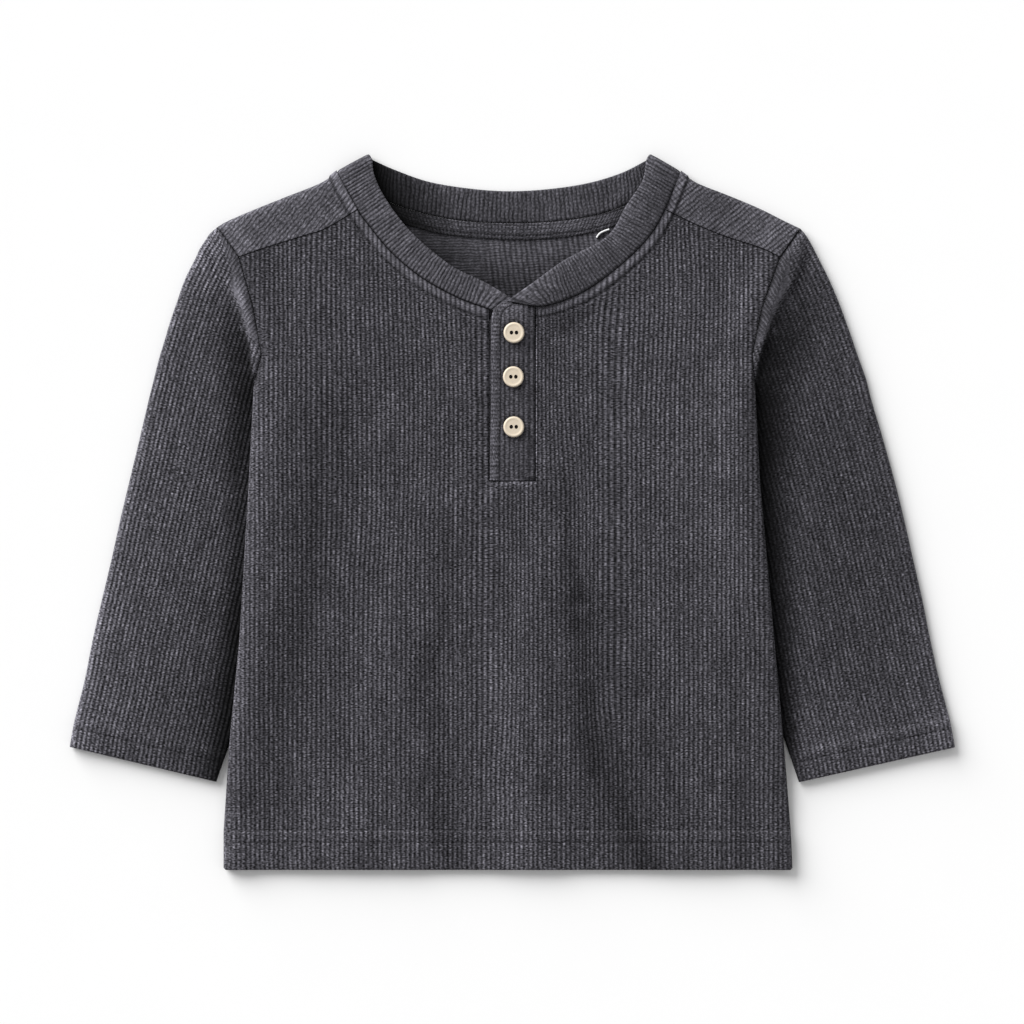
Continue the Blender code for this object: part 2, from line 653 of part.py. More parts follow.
def sleeve_ring(section, side, cuff, outer):
    """A ring round the sleeve and its marks: over the top, round the underarm fold, beneath, round the outer fold."""
    thick = CLOTH + cuff
    top_t = np.linspace(0, 1, 2 * SLEEVE_RIBS + 1 if outer else SLEEVE_COLUMNS)
    low_t = np.linspace(1, 0, SLEEVE_COLUMNS)
    reach = [sleeve_top(section.at([t]), side)[0] / 2 + cuff for t in (0.03, 0.97)]
    first, last = reach[0] / section.length, 1 - reach[1] / section.length
    top = section.at(first + top_t * (last - first))
    low = section.at(first + low_t * (last - first))
    shows = side * (top[:, 0] - body_edge(top[:, 1], side)) > -0.5
    rib = RIB_RAISE * (np.arange(len(top)) % 2) * shows
    z_top = sleeve_top(top, side) + 2 * cuff + (rib if outer else -thick)
    folds = []
    for tip_t, edge_t, radius in ((1.0, last, reach[1]), (0.0, first, reach[0])):
        edge = section.at([edge_t])
        way = unit(section.at([tip_t]) - edge)[0]
        middle = sleeve_top(edge, side)[0] / 2 + cuff
        across, up = (r if outer else max(r - thick, LEAST_INSIDE) for r in (radius, middle))
        angles = np.pi * (0.5 - TURN_SHARES[outer]) * (1 if tip_t else -1)
        plan = edge[0] + across * np.cos(angles)[:, None] * way
        folds.append(np.column_stack([plan, middle + up * np.sin(angles)]))
    ring = np.vstack([np.column_stack([top, z_top]), folds[0],
                      np.column_stack([low, np.full(len(low), 0.0 if outer else thick)]), folds[1]])
    turn = 0.5 * TURN_SHARES[outer]
    mark = np.concatenate([top_t, 1 + turn, 1.5 + np.linspace(0, 1, len(low)), 2.5 + turn, [3.0]])
    return ring, mark


CUFF_ROWS = 2           # the first rows of a sleeve's table lie in its turned-up cuff
OUTER_ONLY = (2, 4, 8)  # rows that only the outer face has


def sleeve(name, side, cloth):
    """A flattened tube with a fold along each edge, its end cut to the armhole seam."""
    wall = Wall()
    sections = SLEEVE_LEFT if side < 0 else SLEEVE_RIGHT
    seam = armhole_line(side)
    rings = {True: [], False: []}
    for k in range(len(sections["follow"])):
        section = SleeveSection({column: values[k] for column, values in sections.items()}, seam)
        push = side * SEAM_GAP / 2 * section.follow ** 6
        for outer in (True, False):
            if outer or k not in OUTER_ONLY:
                ring, mark = sleeve_ring(section, side, HEM_FOLD if k < CUFF_ROWS else 0.0, outer)
                ids = wall.row(ring[:, 0] + push, ring[:, 1], ring[:, 2])
                rings[outer].append((np.append(ids, ids[0]), mark))
    for outer in (True, False):
        wall.skin([ids for ids, _ in rings[outer]], [mark for _, mark in rings[outer]])
    for end in (0, -1):
        (outside, marks_out), (inside, marks_in) = rings[True][end], rings[False][end]
        wall.bridge(outside, inside, marks_out, marks_in)
    return wall.build(name, cloth)


# ---------------------------------------------------------------- neckband, tape, placket, label

def neckband(cloth):
    """One doubled strip from the placket up the left side, over both shoulders and down to the placket."""
    radius = BAND_FOLD_THICK / 2
    seam, free, up, out, mark, length = [], [], [], [], [], 0.0

    def add(seam_points, free_points, centre_height, normal_z, normal_xy, run):
        nonlocal length
        seam.append(seam_points)
        free.append(free_points)
        up.append(np.broadcast_to(centre_height, len(seam_points)))
        out.append(np.column_stack([np.broadcast_to(normal_xy, (len(seam_points), 2)),
                                    np.broadcast_to(normal_z, len(seam_points))]))
        mark.append(length + np.linspace(0, run, len(seam_points), endpoint=False))
        length += run

    def count(run):
        return int(round(run / BAND_RIB_PITCH)) * 2

    tips = {}
    for side in (-1, 1):
        s0, f0 = NECK_SEAM[side].at(0.0), NECK_FREE[side].at(0.0)
        across = unit((f0 - s0)[None])[0]
        normal = np.array([-across[1], across[0]]) * -side
        tips[side] = (s0, f0, normal if normal[1] > 0 else -normal)

    def front_part(side, forward):
        t = np.linspace(0, 1, count(BAND_FRONT) + 1)
        s0, f0, normal = tips[side]
        fade = smooth(1 - t / 0.25)[:, None]
        s = NECK_SEAM[side].moved(t, -side * SEAM_GAP / 2) - radius * normal * fade
        f = NECK_FREE[side].at(t) - radius * normal * fade
        z = np.interp(t, BAND_RISE["along"], BAND_RISE["left" if side < 0 else "right"]) + BAND_THICK / 2
        order = slice(None, None, 1 if forward else -1)
        add(s[order], f[order], z[order], 1.0, (0.0, 0.0), BAND_FRONT)

    def turn_part(side, forward):
        steps = 8
        a = np.pi / 2 - np.pi * np.arange(1, steps) / steps
        s0, f0, normal = tips[side]
        middle = radius - BAND_THICK / 2
        shift = middle * np.cos(a)[:, None] * normal
        gap = unit((f0 - s0)[None])[0] * SEAM_GAP / 2
        order = slice(None, None, 1 if forward else -1)
        add((s0 + gap - radius * normal + shift)[order], (f0 - radius * normal + shift)[order],
            (radius + middle * np.sin(a))[order], np.sin(a)[order], (np.cos(a)[:, None] * normal)[order], 8.0)

    front_part(-1, forward=False)
    turn_part(-1, forward=True)
    t = np.linspace(0, 1, count(BAND_BACK) + 1)
    add(BACK_NECK_SEAM.moved(t, SEAM_GAP / 2), BACK_FREE.at(t), BAND_THICK / 2, -1.0, (0.0, 0.0), BAND_BACK)
    turn_part(1, forward=False)
    front_part(1, forward=True)
    seam, free, up, out, mark = (np.concatenate(v) for v in (seam, free, up, out, mark))

    across = free - seam
    width = np.hypot(across[:, 0], across[:, 1])
    back = out[:, 2] < -0.5
    half = BAND_THICK / 2
    rib = BAND_RIB_RAISE * (np.arange(len(mark)) % 2)
    plain = np.zeros(len(mark))
    inner = 1 - 1.0 / width
    rows = (                                 # share of the width, height from the middle, ribs, kept where fine
        (0.0 * width, half + np.where(back, 0, rib), ~back),
        (inner, half + np.where(back, 0, rib), ~back),
        (1.0 + 0 * width, plain, np.zeros(len(mark), bool)),
        (inner, -half - np.where(back, rib, 0), back),
        (0.0 * width, -half - np.where(back, rib, 0), back),
    )
    sparse = np.arange(len(mark)) % 7 == 0
    turning = np.abs(out[:, 2]) < 0.99
    sparse = sparse | turning
    sparse[[0, -1]] = True
    wall = Wall()
    ids, marks = [], []
    for share, height, fine in rows:
        keep = fine | sparse
        level = np.where(keep & ~fine & ~turning, np.sign(height) * np.minimum(np.abs(height), half), height)
        p = seam + share[:, None] * across + level[:, None] * out[:, :2]
        z = up + level * out[:, 2]
        ids.append(wall.row(p[keep, 0], p[keep, 1], z[keep]))
        marks.append(mark[keep])
    for k in range(5):
        wall.bridge(ids[k], ids[(k + 1) % 5], marks[k], marks[(k + 1) % 5])
    for end in (0, -1):
        wall.faces.append([int(i[end]) for i in ids])
    return wall.build("neckband", cloth)


def strip(name, cloth, plan, floor, thick, ribs=0.0, under_step=1):
    """A flat strip through rows of plan points, on a floor height; its underside keeps every under_step-th."""
    wall = Wall()
    grid = {}
    for top in (True, False):
        rows = []
        for line in plan:
            x, y = line[:, 0], line[:, 1]
            z = floor(x, y) + (thick + ribs if top else 0.0)
            keep = slice(None, None, 1 if top else under_step)
            rows.append(wall.row(x[keep], y[keep], z[keep]))
        wall.skin(rows)
        grid[top] = rows
    for a, b in ((grid[True][0], grid[False][0]), (grid[True][-1], grid[False][-1])):
        wall.bridge(a, b)
    for end in (0, -1):
        wall.bridge([r[end] for r in grid[True]], [r[end] for r in grid[False]])
    return wall.build(name, cloth)


def on_back(x, y):
    """Just above the back panel's inner face."""
    return np.full(np.shape(x), CLOTH + LAYER_GAP)


def neck_tape(cloth):
    """A narrow strip over the back neck seam, on the inside of the back panel."""
    t = np.linspace(0, 1, 41)
    upper = BACK_NECK_SEAM.moved(TAPE_ENDS[0] + t * (TAPE_ENDS[1] - TAPE_ENDS[0]), -SEAM_GAP)
    lower = TAPE_LOWER.at(t)
    rows = np.stack([lower, upper])
    return strip("neck_tape", cloth, rows, on_back, TAPE_THICK)


PLACKET_UPPER = table(          # the upper placket's edges, a row each from its foot to its rounded top
    "left_x left_y right_x right_y",
    (-10.9, 14.9, 11.0, 14.9),
    (-10.6, 35.0, 11.0, 35.0),
    (-10.1, 55.0, 11.0, 55.0),
    (-10.0, 72.0, 11.0, 72.0),
    (-9.9, 84.0, 11.0, 84.0),
    (-9.3, 92.0, 11.0, 91.5),
    (-8.2, 96.6, 11.0, 95.5),
    (-6.0, 99.3, 11.0, 97.4),
    (-3.2, 100.6, 11.0, 98.3),
)
PLACKET_TOP_RISE = 1.1          # the upper placket climbs over the left end of the neckband


def placket_floor(x, y):
    """Underside of the upper placket: on the under placket, then up over the neckband's left end."""
    return 2 * LAYER_GAP + CLOTH + PLACKET_THICK + PLACKET_TOP_RISE * smooth((y - 70.0) / 20.0)


def placket_upper(cloth):
    columns = 19
    t = np.linspace(0, 1, columns)[:, None]
    rows = []
    for k in range(len(PLACKET_UPPER["left_x"])):
        p = {name: column[k] for name, column in PLACKET_UPPER.items()}
        a, b = np.array([p["left_x"], p["left_y"]]), np.array([p["right_x"], p["right_y"]])
        rows.append(a + t * (b - a))
    ribs = PLACKET_RIB_RAISE * (np.arange(columns) % 2)
    return strip("placket_upper", cloth, np.stack(rows), placket_floor, PLACKET_THICK, ribs, under_step=6)


def placket_under(cloth):
    gap = SEAM_GAP
    left, right = SLIT_LEFT + gap, SLIT_RIGHT - gap
    rows = []
    for left_y, right_y in ((SLIT_BOTTOM + gap, SLIT_BOTTOM + gap), (50.0, 50.0), (78.0, 78.0), (93.6, 92.6)):
        t = np.linspace(0, 1, 5)[:, None]
        rows.append(np.array([left, left_y]) + t * np.array([right - left, right_y - left_y]))
    return strip("placket_under", cloth, np.stack(rows), on_back, PLACKET_THICK)


def size_label(cloth):
    """A folded blank label that stands on its edge beneath the neck tape."""
    spine = through([(40.4, 132.0), (41.7, 133.3), (43.4, 134.2)], 4)
    ahead = unit(np.gradient(spine, axis=0))
    side = np.stack([-ahead[:, 1], ahead[:, 0]], axis=-1)
    rows = np.stack([spine - 0.4 * side, spine + 0.4 * side])
    return strip("size_label", cloth, rows, on_back, LABEL_STANDS)


# ---------------------------------------------------------------- buttons

def button(name, x, y, resin):
    """A turned two-hole button with a raised rim and a shallow dish."""
    radius, thick = BUTTON_DIAMETER / 2, BUTTON_THICK
    profile = ((0.0, 0.0), (3.8, 0.0), (4.7, 0.5), (radius, 1.1), (4.8, 1.8), (4.3, thick), (3.6, 1.7), (0.0, 1.6))
    floor = placket_floor(x, y) + PLACKET_THICK + PLACKET_RIB_RAISE + LAYER_GAP
    angles = np.linspace(0, 2 * np.pi, BUTTON_SEGMENTS, endpoint=False)
    work = bmesh.new()
    rings = []
    for r, z in profile:
        if r == 0.0:
            rings.append([work.verts.new((0.0, 0.0, z * MM))])
        else:
            rings.append([work.verts.new((r * np.cos(a) * MM, r * np.sin(a) * MM, z * MM)) for a in angles])
    for low, high in zip(rings, rings[1:]):
        for k in range(BUTTON_SEGMENTS):
            n = (k + 1) % BUTTON_SEGMENTS
            if len(low) == 1:
                work.faces.new((low[0], high[n], high[k]))
            elif len(high) == 1:
                work.faces.new((low[k], low[n], high[0]))
            else:
                work.faces.new((low[k], low[n], high[n], high[k]))
    bmesh.ops.recalc_face_normals(work, faces=work.faces[:])
    mesh = bpy.data.meshes.new(name)
    work.to_mesh(mesh)
    work.free()
    mesh.shade_smooth()
    mesh.set_sharp_from_angle(angle=0.7)
    mesh.materials.append(resin)
    obj = bpy.data.objects.new(name, mesh)
    obj.location = (x * MM, y * MM, float(floor) * MM)
    bpy.context.scene.collection.objects.link(obj)
    for sign in (-1, 1):
        cutter = hole_cutter(f"{name}_hole_{'left' if sign < 0 else 'right'}", obj, sign)
        cut = obj.modifiers.new("hole", "BOOLEAN")
        cut.operation = "DIFFERENCE"
        cut.object = cutter
    return obj


def hole_cutter(name, owner, sign):
    work = bmesh.new()
    bmesh.ops.create_cone(work, cap_ends=True, segments=8, radius1=BUTTON_HOLE / 2 * MM,
                          radius2=BUTTON_HOLE / 2 * MM, depth=3 * BUTTON_THICK * MM)
    mesh = bpy.data.meshes.new(name)
    work.to_mesh(mesh)
    work.free()
    cutter = bpy.data.objects.new(name, mesh)
    cutter.parent = owner
    cutter.location = (sign * BUTTON_HOLE_SPACING / 2 * MM, 0.0, BUTTON_THICK / 2 * MM)
    cutter.hide_render = True
    cutter.display_type = "WIRE"
    bpy.context.scene.collection.objects.link(cutter)
    return cutter


BUTTONS = (("button_top", 0.7, 85.9), ("button_middle", 0.4, 64.8), ("button_bottom", 0.6, 40.8))


def centre(parts):
    """Move the parts so that the middle of the shirt's outline lies at the origin."""
    spots = np.vstack([np.array([v.co + p.location for v in p.data.vertices]) for p in parts])
    middle = (spots.min(axis=0) + spots.max(axis=0)) / 2
    for p in parts:
        p.location.x -= middle[0]
        p.location.y -= middle[1]


def main():
    for old in list(bpy.data.objects):
        bpy.data.objects.remove(old)
    knit = material("charcoal rib knit", (0.055, 0.053, 0.062), 0.95)
    rib = material("charcoal neck rib", (0.058, 0.056, 0.065), 0.95)
    tape = material("charcoal neck tape", (0.050, 0.049, 0.057), 0.92)
    resin = material("cream button", (0.64, 0.53, 0.40), 0.45)
    satin = material("white label", (0.86, 0.86, 0.87), 0.6)
    centre([
        front_panel(knit),
        back_panel(knit),
        sleeve("sleeve_left", -1, knit),
        sleeve("sleeve_right", 1, knit),
        neckband(rib),
        neck_tape(tape),
        placket_upper(knit),
        placket_under(knit),
        size_label(satin),
        *(button(name, x, y, resin) for name, x, y in BUTTONS),
    ])


main()
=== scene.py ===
"""Henley shirt of charcoal rib knit, a baby's size, buttoned and laid flat on its back.

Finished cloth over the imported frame. Lengths in the tables are millimetres in the plan, +X across the chest, +Y to
the neck, +Z up from the surface the shirt lies on. Every piece of cloth is one closed wall worked out on grids of
points with numpy; its ribs stand in the wall's own points, and stitches, beads and heather come from the material.
"""

import bmesh
import bpy
import numpy as np
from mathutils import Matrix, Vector


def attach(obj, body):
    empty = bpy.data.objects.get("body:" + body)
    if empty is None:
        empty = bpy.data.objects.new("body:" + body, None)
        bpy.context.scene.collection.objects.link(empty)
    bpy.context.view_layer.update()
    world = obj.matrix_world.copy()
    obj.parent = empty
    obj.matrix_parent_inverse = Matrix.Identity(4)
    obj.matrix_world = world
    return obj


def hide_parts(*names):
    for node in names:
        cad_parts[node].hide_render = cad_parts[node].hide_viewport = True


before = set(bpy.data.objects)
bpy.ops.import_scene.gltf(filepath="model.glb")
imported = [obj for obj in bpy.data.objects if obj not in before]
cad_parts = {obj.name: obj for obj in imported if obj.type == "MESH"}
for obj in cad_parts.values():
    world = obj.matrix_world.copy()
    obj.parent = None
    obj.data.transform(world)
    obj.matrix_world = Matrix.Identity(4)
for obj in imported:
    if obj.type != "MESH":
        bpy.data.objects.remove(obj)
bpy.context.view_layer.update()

MM = 0.001
MOVE = np.array([0.1002, 0.3113, 0.0])   # from the tables' zero to the frame's

# ---------------------------------------------------------------- sizes

CLOTH = 1.3
RIB_RAISE = 0.36
RIB_PITCH = 2.26
SLEEVE_PITCH = 2.16
BAND_THICK = 2.0
BAND_RIB_RAISE = 0.22
BAND_PITCH = 1.9
PLACKET_THICK = 1.2
TAPE_THICK = 0.6
HEM_FOLD = 0.6
HEM_DEPTH = 18.8
NECK_RIDGE = 0.8
NECK_RIDGE_WIDTH = 3.9
SEAM_GAP = 0.3
LAYER_GAP = 0.3
FOLD_THICK = 4.8
BAND_FOLD_THICK = 6.0
SLEEVE_FOLD_THICK = 4.0
FOLD_REACH = 10.0
ARMHOLE_ROLL = 3.0
TUCK_THICK = 2 * CLOTH + LAYER_GAP
SIDE_LIFT = TUCK_THICK + LAYER_GAP
LIFT_FALL_BACK = 12.0
LIFT_FALL_FRONT = 30.0
SLIT_LEFT, SLIT_RIGHT, SLIT_BOTTOM = -11.3, 11.3, 14.6
SIDE_RADIUS = (FOLD_THICK - LAYER_GAP) / 2
HEM_Y = -171.6
HEM_TOP = HEM_Y + HEM_DEPTH
UNDERARM_Y = 59.5
CORNER_Y = 122.2
HEM_STITCH = (13.2, 19.0)
CUFF_STITCH = (9.3, 13.8)
CUFF_DEPTH = 14.6
TURN_TOP_Y = 75.4           # the side fold has become an armhole seam here
NECK_CORNER_Y = 145.0       # the shoulder seam meets the neck seam here
LIFT_FOOT_Y = -152.0        # the lift by the sleeves has gone here
# A point's second place tells how far it lies from a sewn edge: up from the first mark at a hem or cuff, down from
# the second one at a seam, and no further than the reach.
HEM_MARK, SEAM_MARK, MARK_REACH = 100.0, 200.0, 30.0
STITCH_DENT, STITCH_HALF = 0.3, 0.45
NECK_STITCH = 4.6           # from the neck seam to the stitches beside it
SIDES = (-1, 1)             # left and right as one looks at the front
SIDE_NAME = {-1: "left", 1: "right"}


def table(columns, *rows):
    """A short table as a dictionary of arrays, one array for each named column."""
    return dict(zip(columns.split(), np.array(rows, float).T))


def read(rows, at, name):
    """A table's named column, read between its rows by the first column."""
    return np.interp(at, next(iter(rows.values())), rows[name])


BODY_EDGE = table("y left right",
    (-171.6, -137.6, 133.4), (-170.6, -138.5, 134.2), (-152.2, -138.5, 133.4), (-112, -135.8, 130.1),
    (-61.4, -130.9, 125.5), (14.6, -126.4, 118.6), (59.5, -124.1, 116.3), (75.4, -120.4, 114.9),
    (98, -124.3, 119.6), (122.2, -131.1, 128.2),
)
LIFT_EDGE = table("y left right",
    (-112, -126, 122), (-61.4, -117.5, 112), (14.6, -115.5, 110.5), (59.5, -117.5, 110.5),
)
BAND_RISE = table("along left right",
    (0, 4, 4), (0.12, 3.6, 3.6), (0.22, 3, 3), (0.35, 2.6, 2.6), (0.55, 2.5, 2.5), (0.75, 1.8, 2.9),
    (0.9, 1.6, 3.9), (1, 1.6, 4.2),
)
FRONT_FOLDS = table("top_x top_y bottom_x bottom_y half_width height",
    (8, -20, 2, -165, 17, 1), (-60, 40, -72, -165, 26, 0.8), (62, 30, 78, -165, 24, 0.8),
)
SLEEVE_FOLD = {
    -1: (
        (-212.4, -112.6), (-209.8, -98.9), (-205.2, -80.6), (-201.4, -61.4), (-197, -42.2), (-192.4, -23),
        (-188.2, -3.8), (-183.6, 15.4), (-179, 34.6), (-174.5, 53.8), (-172.1, 63.4), (-169.7, 73),
        (-166.8, 82.6), (-163.9, 92.2), (-160.6, 101.8), (-157.2, 111.4), (-152.4, 121), (-150, 126.2),
        (-147.1, 130.6), (-145.2, 133.4), (-141.5, 136.7),
    ),
    1: (
        (212.2, -112.8), (209.5, -98.9), (204.7, -80.6), (200.4, -61.4), (196.6, -42.2), (192.2, -23),
        (187.9, -3.8), (183.1, 15.4), (177.8, 34.6), (172.1, 53.8), (169.7, 63.4), (166.3, 73), (163, 82.6),
        (159.6, 92.2), (156, 101.8), (151.9, 111.4), (147.1, 121), (144.4, 126.4), (142.1, 130.6),
        (140.2, 133.4), (138, 135.9),
    ),
}
SLEEVE_UNDER = {
    -1: (
        (-142.1, -129.4), (-136.1, -112.3), (-134, -107), (-125, -79.7), (-118.3, -3.8), (-118.6, 25),
        (-121.6, 42), (-124.1, 59.5),
    ),
    1: (
        (137.4, -129.6), (131, -110.9), (129, -105), (120.2, -79.7), (113, -3.8), (112.4, 25), (114.6, 42),
        (116.3, 59.5),
    ),
}


def smooth(t):
    """0 to 1 with level ends: t squared times 3 less twice t."""
    t = np.clip(t, 0.0, 1.0)
    return t * t * (3 - 2 * t)


def bell(t):
    """1 at 0, falling to 0 at -1 and 1."""
    return smooth(1 - np.abs(t))


def quarter_round(t):
    """A quarter circle from 0 at t = 0 up to 1 at t = 1: the root of 1 less the square of 1 - t."""
    return np.sqrt(1 - (1 - np.clip(t, 0, 1)) ** 2)


def unit(v):
    return v / np.maximum(np.linalg.norm(v, axis=-1), 1e-9)[..., None]


def steps(*marks, step=2.3):
    """Values through the marks, evenly spaced between them and no further apart than step."""
    spans = [np.linspace(a, b, max(int(np.ceil(abs(b - a) / step)), 1), endpoint=False)
             for a, b in zip(marks, marks[1:])]
    return np.concatenate(spans + [[marks[-1]]])


def through(points, count=16):
    """A smooth line through points (Catmull-Rom), count points a span."""
    p = np.asarray(points, float)
    p = np.vstack([2 * p[0] - p[1], p, 2 * p[-1] - p[-2]])
    u = np.linspace(0, 1, count, endpoint=False)[:, None]
    spans = [b + 0.5 * u * (c - a + u * (2 * a - 5 * b + 4 * c - d + u * (3 * (b - c) + d - a)))
             for a, b, c, d in zip(p, p[1:], p[2:], p[3:])]
    return np.vstack(spans + [p[-2:-1]])


class Line:
    """A line in the plan through a few points, read by the share of its length."""

    def __init__(self, *points, bent=True):
        self.path = through(points) if bent else np.array(points, float)
        run = np.concatenate([[0.0], np.cumsum(np.hypot(*np.diff(self.path, axis=0).T))])
        self.length = run[-1]
        self.run = run
        self.share = run / run[-1]

    def at(self, t):
        return np.stack([np.interp(t, self.share, self.path[:, k]) for k in (0, 1)], axis=-1)

    def ahead(self, t, reach=0.01):
        return unit(self.at(np.minimum(t + reach, 1.0)) - self.at(np.maximum(t - reach, 0.0)))

    def moved(self, t, distance):
        """Points at t, moved to the left of the line's direction."""
        a = self.ahead(t)
        return self.at(t) + np.asarray(distance)[..., None] * np.stack([-a[..., 1], a[..., 0]], axis=-1)

    def near(self, x, y):
        """For each point, its distance from the line and how far along the line the nearest place is."""
        x, y = np.broadcast_arrays(np.asarray(x, float), np.asarray(y, float))
        best, along = np.full(x.shape, 1e9), np.zeros(x.shape)
        for a, b, r0, r1 in zip(self.path[:-1], self.path[1:], self.run[:-1], self.run[1:]):
            if r1 <= r0:
                continue
            t = np.clip(((x - a[0]) * (b[0] - a[0]) + (y - a[1]) * (b[1] - a[1])) / (r1 - r0) ** 2, 0, 1)
            d = np.hypot(x - a[0] - t * (b[0] - a[0]), y - a[1] - t * (b[1] - a[1]))
            along = np.where(d < best, r0 + t * (r1 - r0), along)
            best = np.minimum(best, d)
        return best, along

    def away(self, x, y):
        return self.near(x, y)[0]


SHOULDER_POINT = {-1: (-141.5, 136.7), 1: (138.0, 135.9)}
SHOULDER_FOLD = {
    -1: Line(
        (-141.5, 136.7), (-136, 139.8), (-124.1, 144.9), (-109.7, 150.7), (-92, 157.8), (-84.2, 163.2),
    ),
    1: Line(
        (138, 135.9), (128.9, 140.3), (119.8, 144.9), (111.1, 148.7), (101.5, 152.6), (91.9, 156.3),
        (87, 158.6), (80.6, 163),
    ),
}
SHOULDER_SEAM = {
    -1: Line((-131.1, 122.2), (-119.8, 126.2), (-100.8, 132.2), (-89.8, 135.8), (-74.2, 145)),
    1: Line((128.2, 122.2), (118, 126.9), (102.3, 132), (88.9, 137.4), (73, 145)),
}
NECK_SEAM = {
    -1: Line(
        (-84, 163.4), (-74.2, 145), (-69.4, 138.2), (-58.3, 124.8), (-43.4, 112.3), (-26.2, 102.7),
        (-14.2, 98.2), (-7.4, 95.6),
    ),
    1: Line(
        (80.4, 163.2), (73, 145), (65.5, 132), (52.1, 118.6), (37.2, 107.5), (25.2, 101.7), (16.1, 98.9),
        (11.3, 98.6),
    ),
}
NECK_FREE = {
    -1: Line(
        (-68.8, 171.8), (-67.4, 163.7), (-61.7, 151.7), (-52.1, 138.2), (-41, 127.2), (-27.6, 117.1),
        (-12.7, 109.9), (1.8, 101.2),
    ),
    1: Line(
        (65.8, 171.8), (63.1, 160.3), (54.5, 146.9), (45.4, 132.3), (25.2, 121), (11.8, 111.4), (-2.6, 101.2),
    ),
}
BACK_NECK_SEAM = Line(
    (-82.6, 160.8), (-72, 154.5), (-60.7, 149.2), (-45.8, 144), (-25.2, 139.8), (-0.7, 138.5), (23.8, 139.7),
    (42.5, 143), (56.5, 148.2), (68, 154.1), (79.2, 160.6),
)
BACK_FREE = Line(
    (-67.2, 168.9), (-55.9, 163.9), (-39.6, 158.3), (-19, 155), (-0.7, 153.9), (18, 155), (36.2, 157.8),
    (52.1, 162.6), (64.3, 168.7),
)
TAPE_LOWER = Line(
    (-58.5, 140.6), (-47.3, 136.8), (-31, 133), (-0.7, 130.6), (23.8, 131.8), (41, 134.9), (54.5, 139.4),
)
TAPE_ENDS = (0.135, 0.865)
LABEL_HALF = 0.4


# ---------------------------------------------------------------- how high the layers lie

def body_edge(y, side):
    return read(BODY_EDGE, y, SIDE_NAME[side])


def from_neck(x, y):
    """Distance from the neck seam in front."""
    return np.minimum(NECK_SEAM[-1].away(x, y), NECK_SEAM[1].away(x, y))


def side_lift(x, y, fall):
    """The body's underside rises over each tucked-in sleeve and falls back to the surface inside it."""
    along = smooth((TURN_TOP_Y - y) / (TURN_TOP_Y - UNDERARM_Y)) * smooth((y - LIFT_FOOT_Y) / 40.0)
    total = 0.0
    for side in SIDES:
        inside = side * (read(LIFT_EDGE, y, SIDE_NAME[side]) - x)
        total = total + SIDE_LIFT * along * smooth(1 - inside / fall)
    return total


def fold_air(x, y):
    """The two layers stand apart near a fold: a Gaussian of the distance from the nearest fold."""
    radius = FOLD_THICK / 2
    air = 0.0
    for side in SIDES:
        from_side = np.maximum(side * (body_edge(y, side) - x) - radius, 0)
        from_shoulder = np.maximum(SHOULDER_FOLD[side].away(x, y) - radius, 0)
        air = air + np.exp(-((np.minimum(from_side, from_shoulder) / FOLD_REACH) ** 2))
    return (FOLD_THICK - 2 * CLOTH - LAYER_GAP) * np.minimum(air, 1.0)


# soft troughs and ridges in the front, pressed in by lying: one row each, from one end to the other
BODY_CREASES = table("x0 y0 x1 y1 half_width height",
    (9, -20, 18, -205, 15, 1.2), (36, 20, 48, -205, 13, -0.9), (-46, -20, -52, -205, 15, 0.8),
    (-26, -60, -20, -205, 12, -0.6), (-92, 60, -120, -110, 14, -0.7), (-80, 60, -98, -205, 14, 0.6),
    (112, 120, 108, 78, 9, 0.7), (92, -40, 98, -205, 15, 0.7), (20, 84, 56, 102, 8, -0.5),
    (-10.8, 18, -11, 2, 5, 0.5), (11, 20, 10, 6, 5, 0.4),
)


def front_folds(x, y):
    """The broad folds of the solid: each a bell across a slanting axis that grows from its top."""
    total = 0.0
    for top_x, top_y, bottom_x, bottom_y, half, height in zip(*FRONT_FOLDS.values()):
        down = (top_y - y) / (top_y - bottom_y)
        axis = top_x + (bottom_x - top_x) * down
        total = total + height * bell((x - axis) / half) * smooth(down * 1.6)
    return total


def creases(x, y, rows):
    """The sum of soft troughs and ridges: a bell across each axis, faded over its last fifth at either end."""
    total = 0.0
    for x0, y0, x1, y1, half, height in zip(*rows.values()):
        long = np.hypot(x1 - x0, y1 - y0)
        along = ((x - x0) * (x1 - x0) + (y - y0) * (y1 - y0)) / long ** 2
        across = ((x - x0) * (y1 - y0) - (y - y0) * (x1 - x0)) / long
        total = total + height * bell(across / half) * smooth((along + 0.05) / 0.25) * smooth((1.05 - along) / 0.25)
    return total


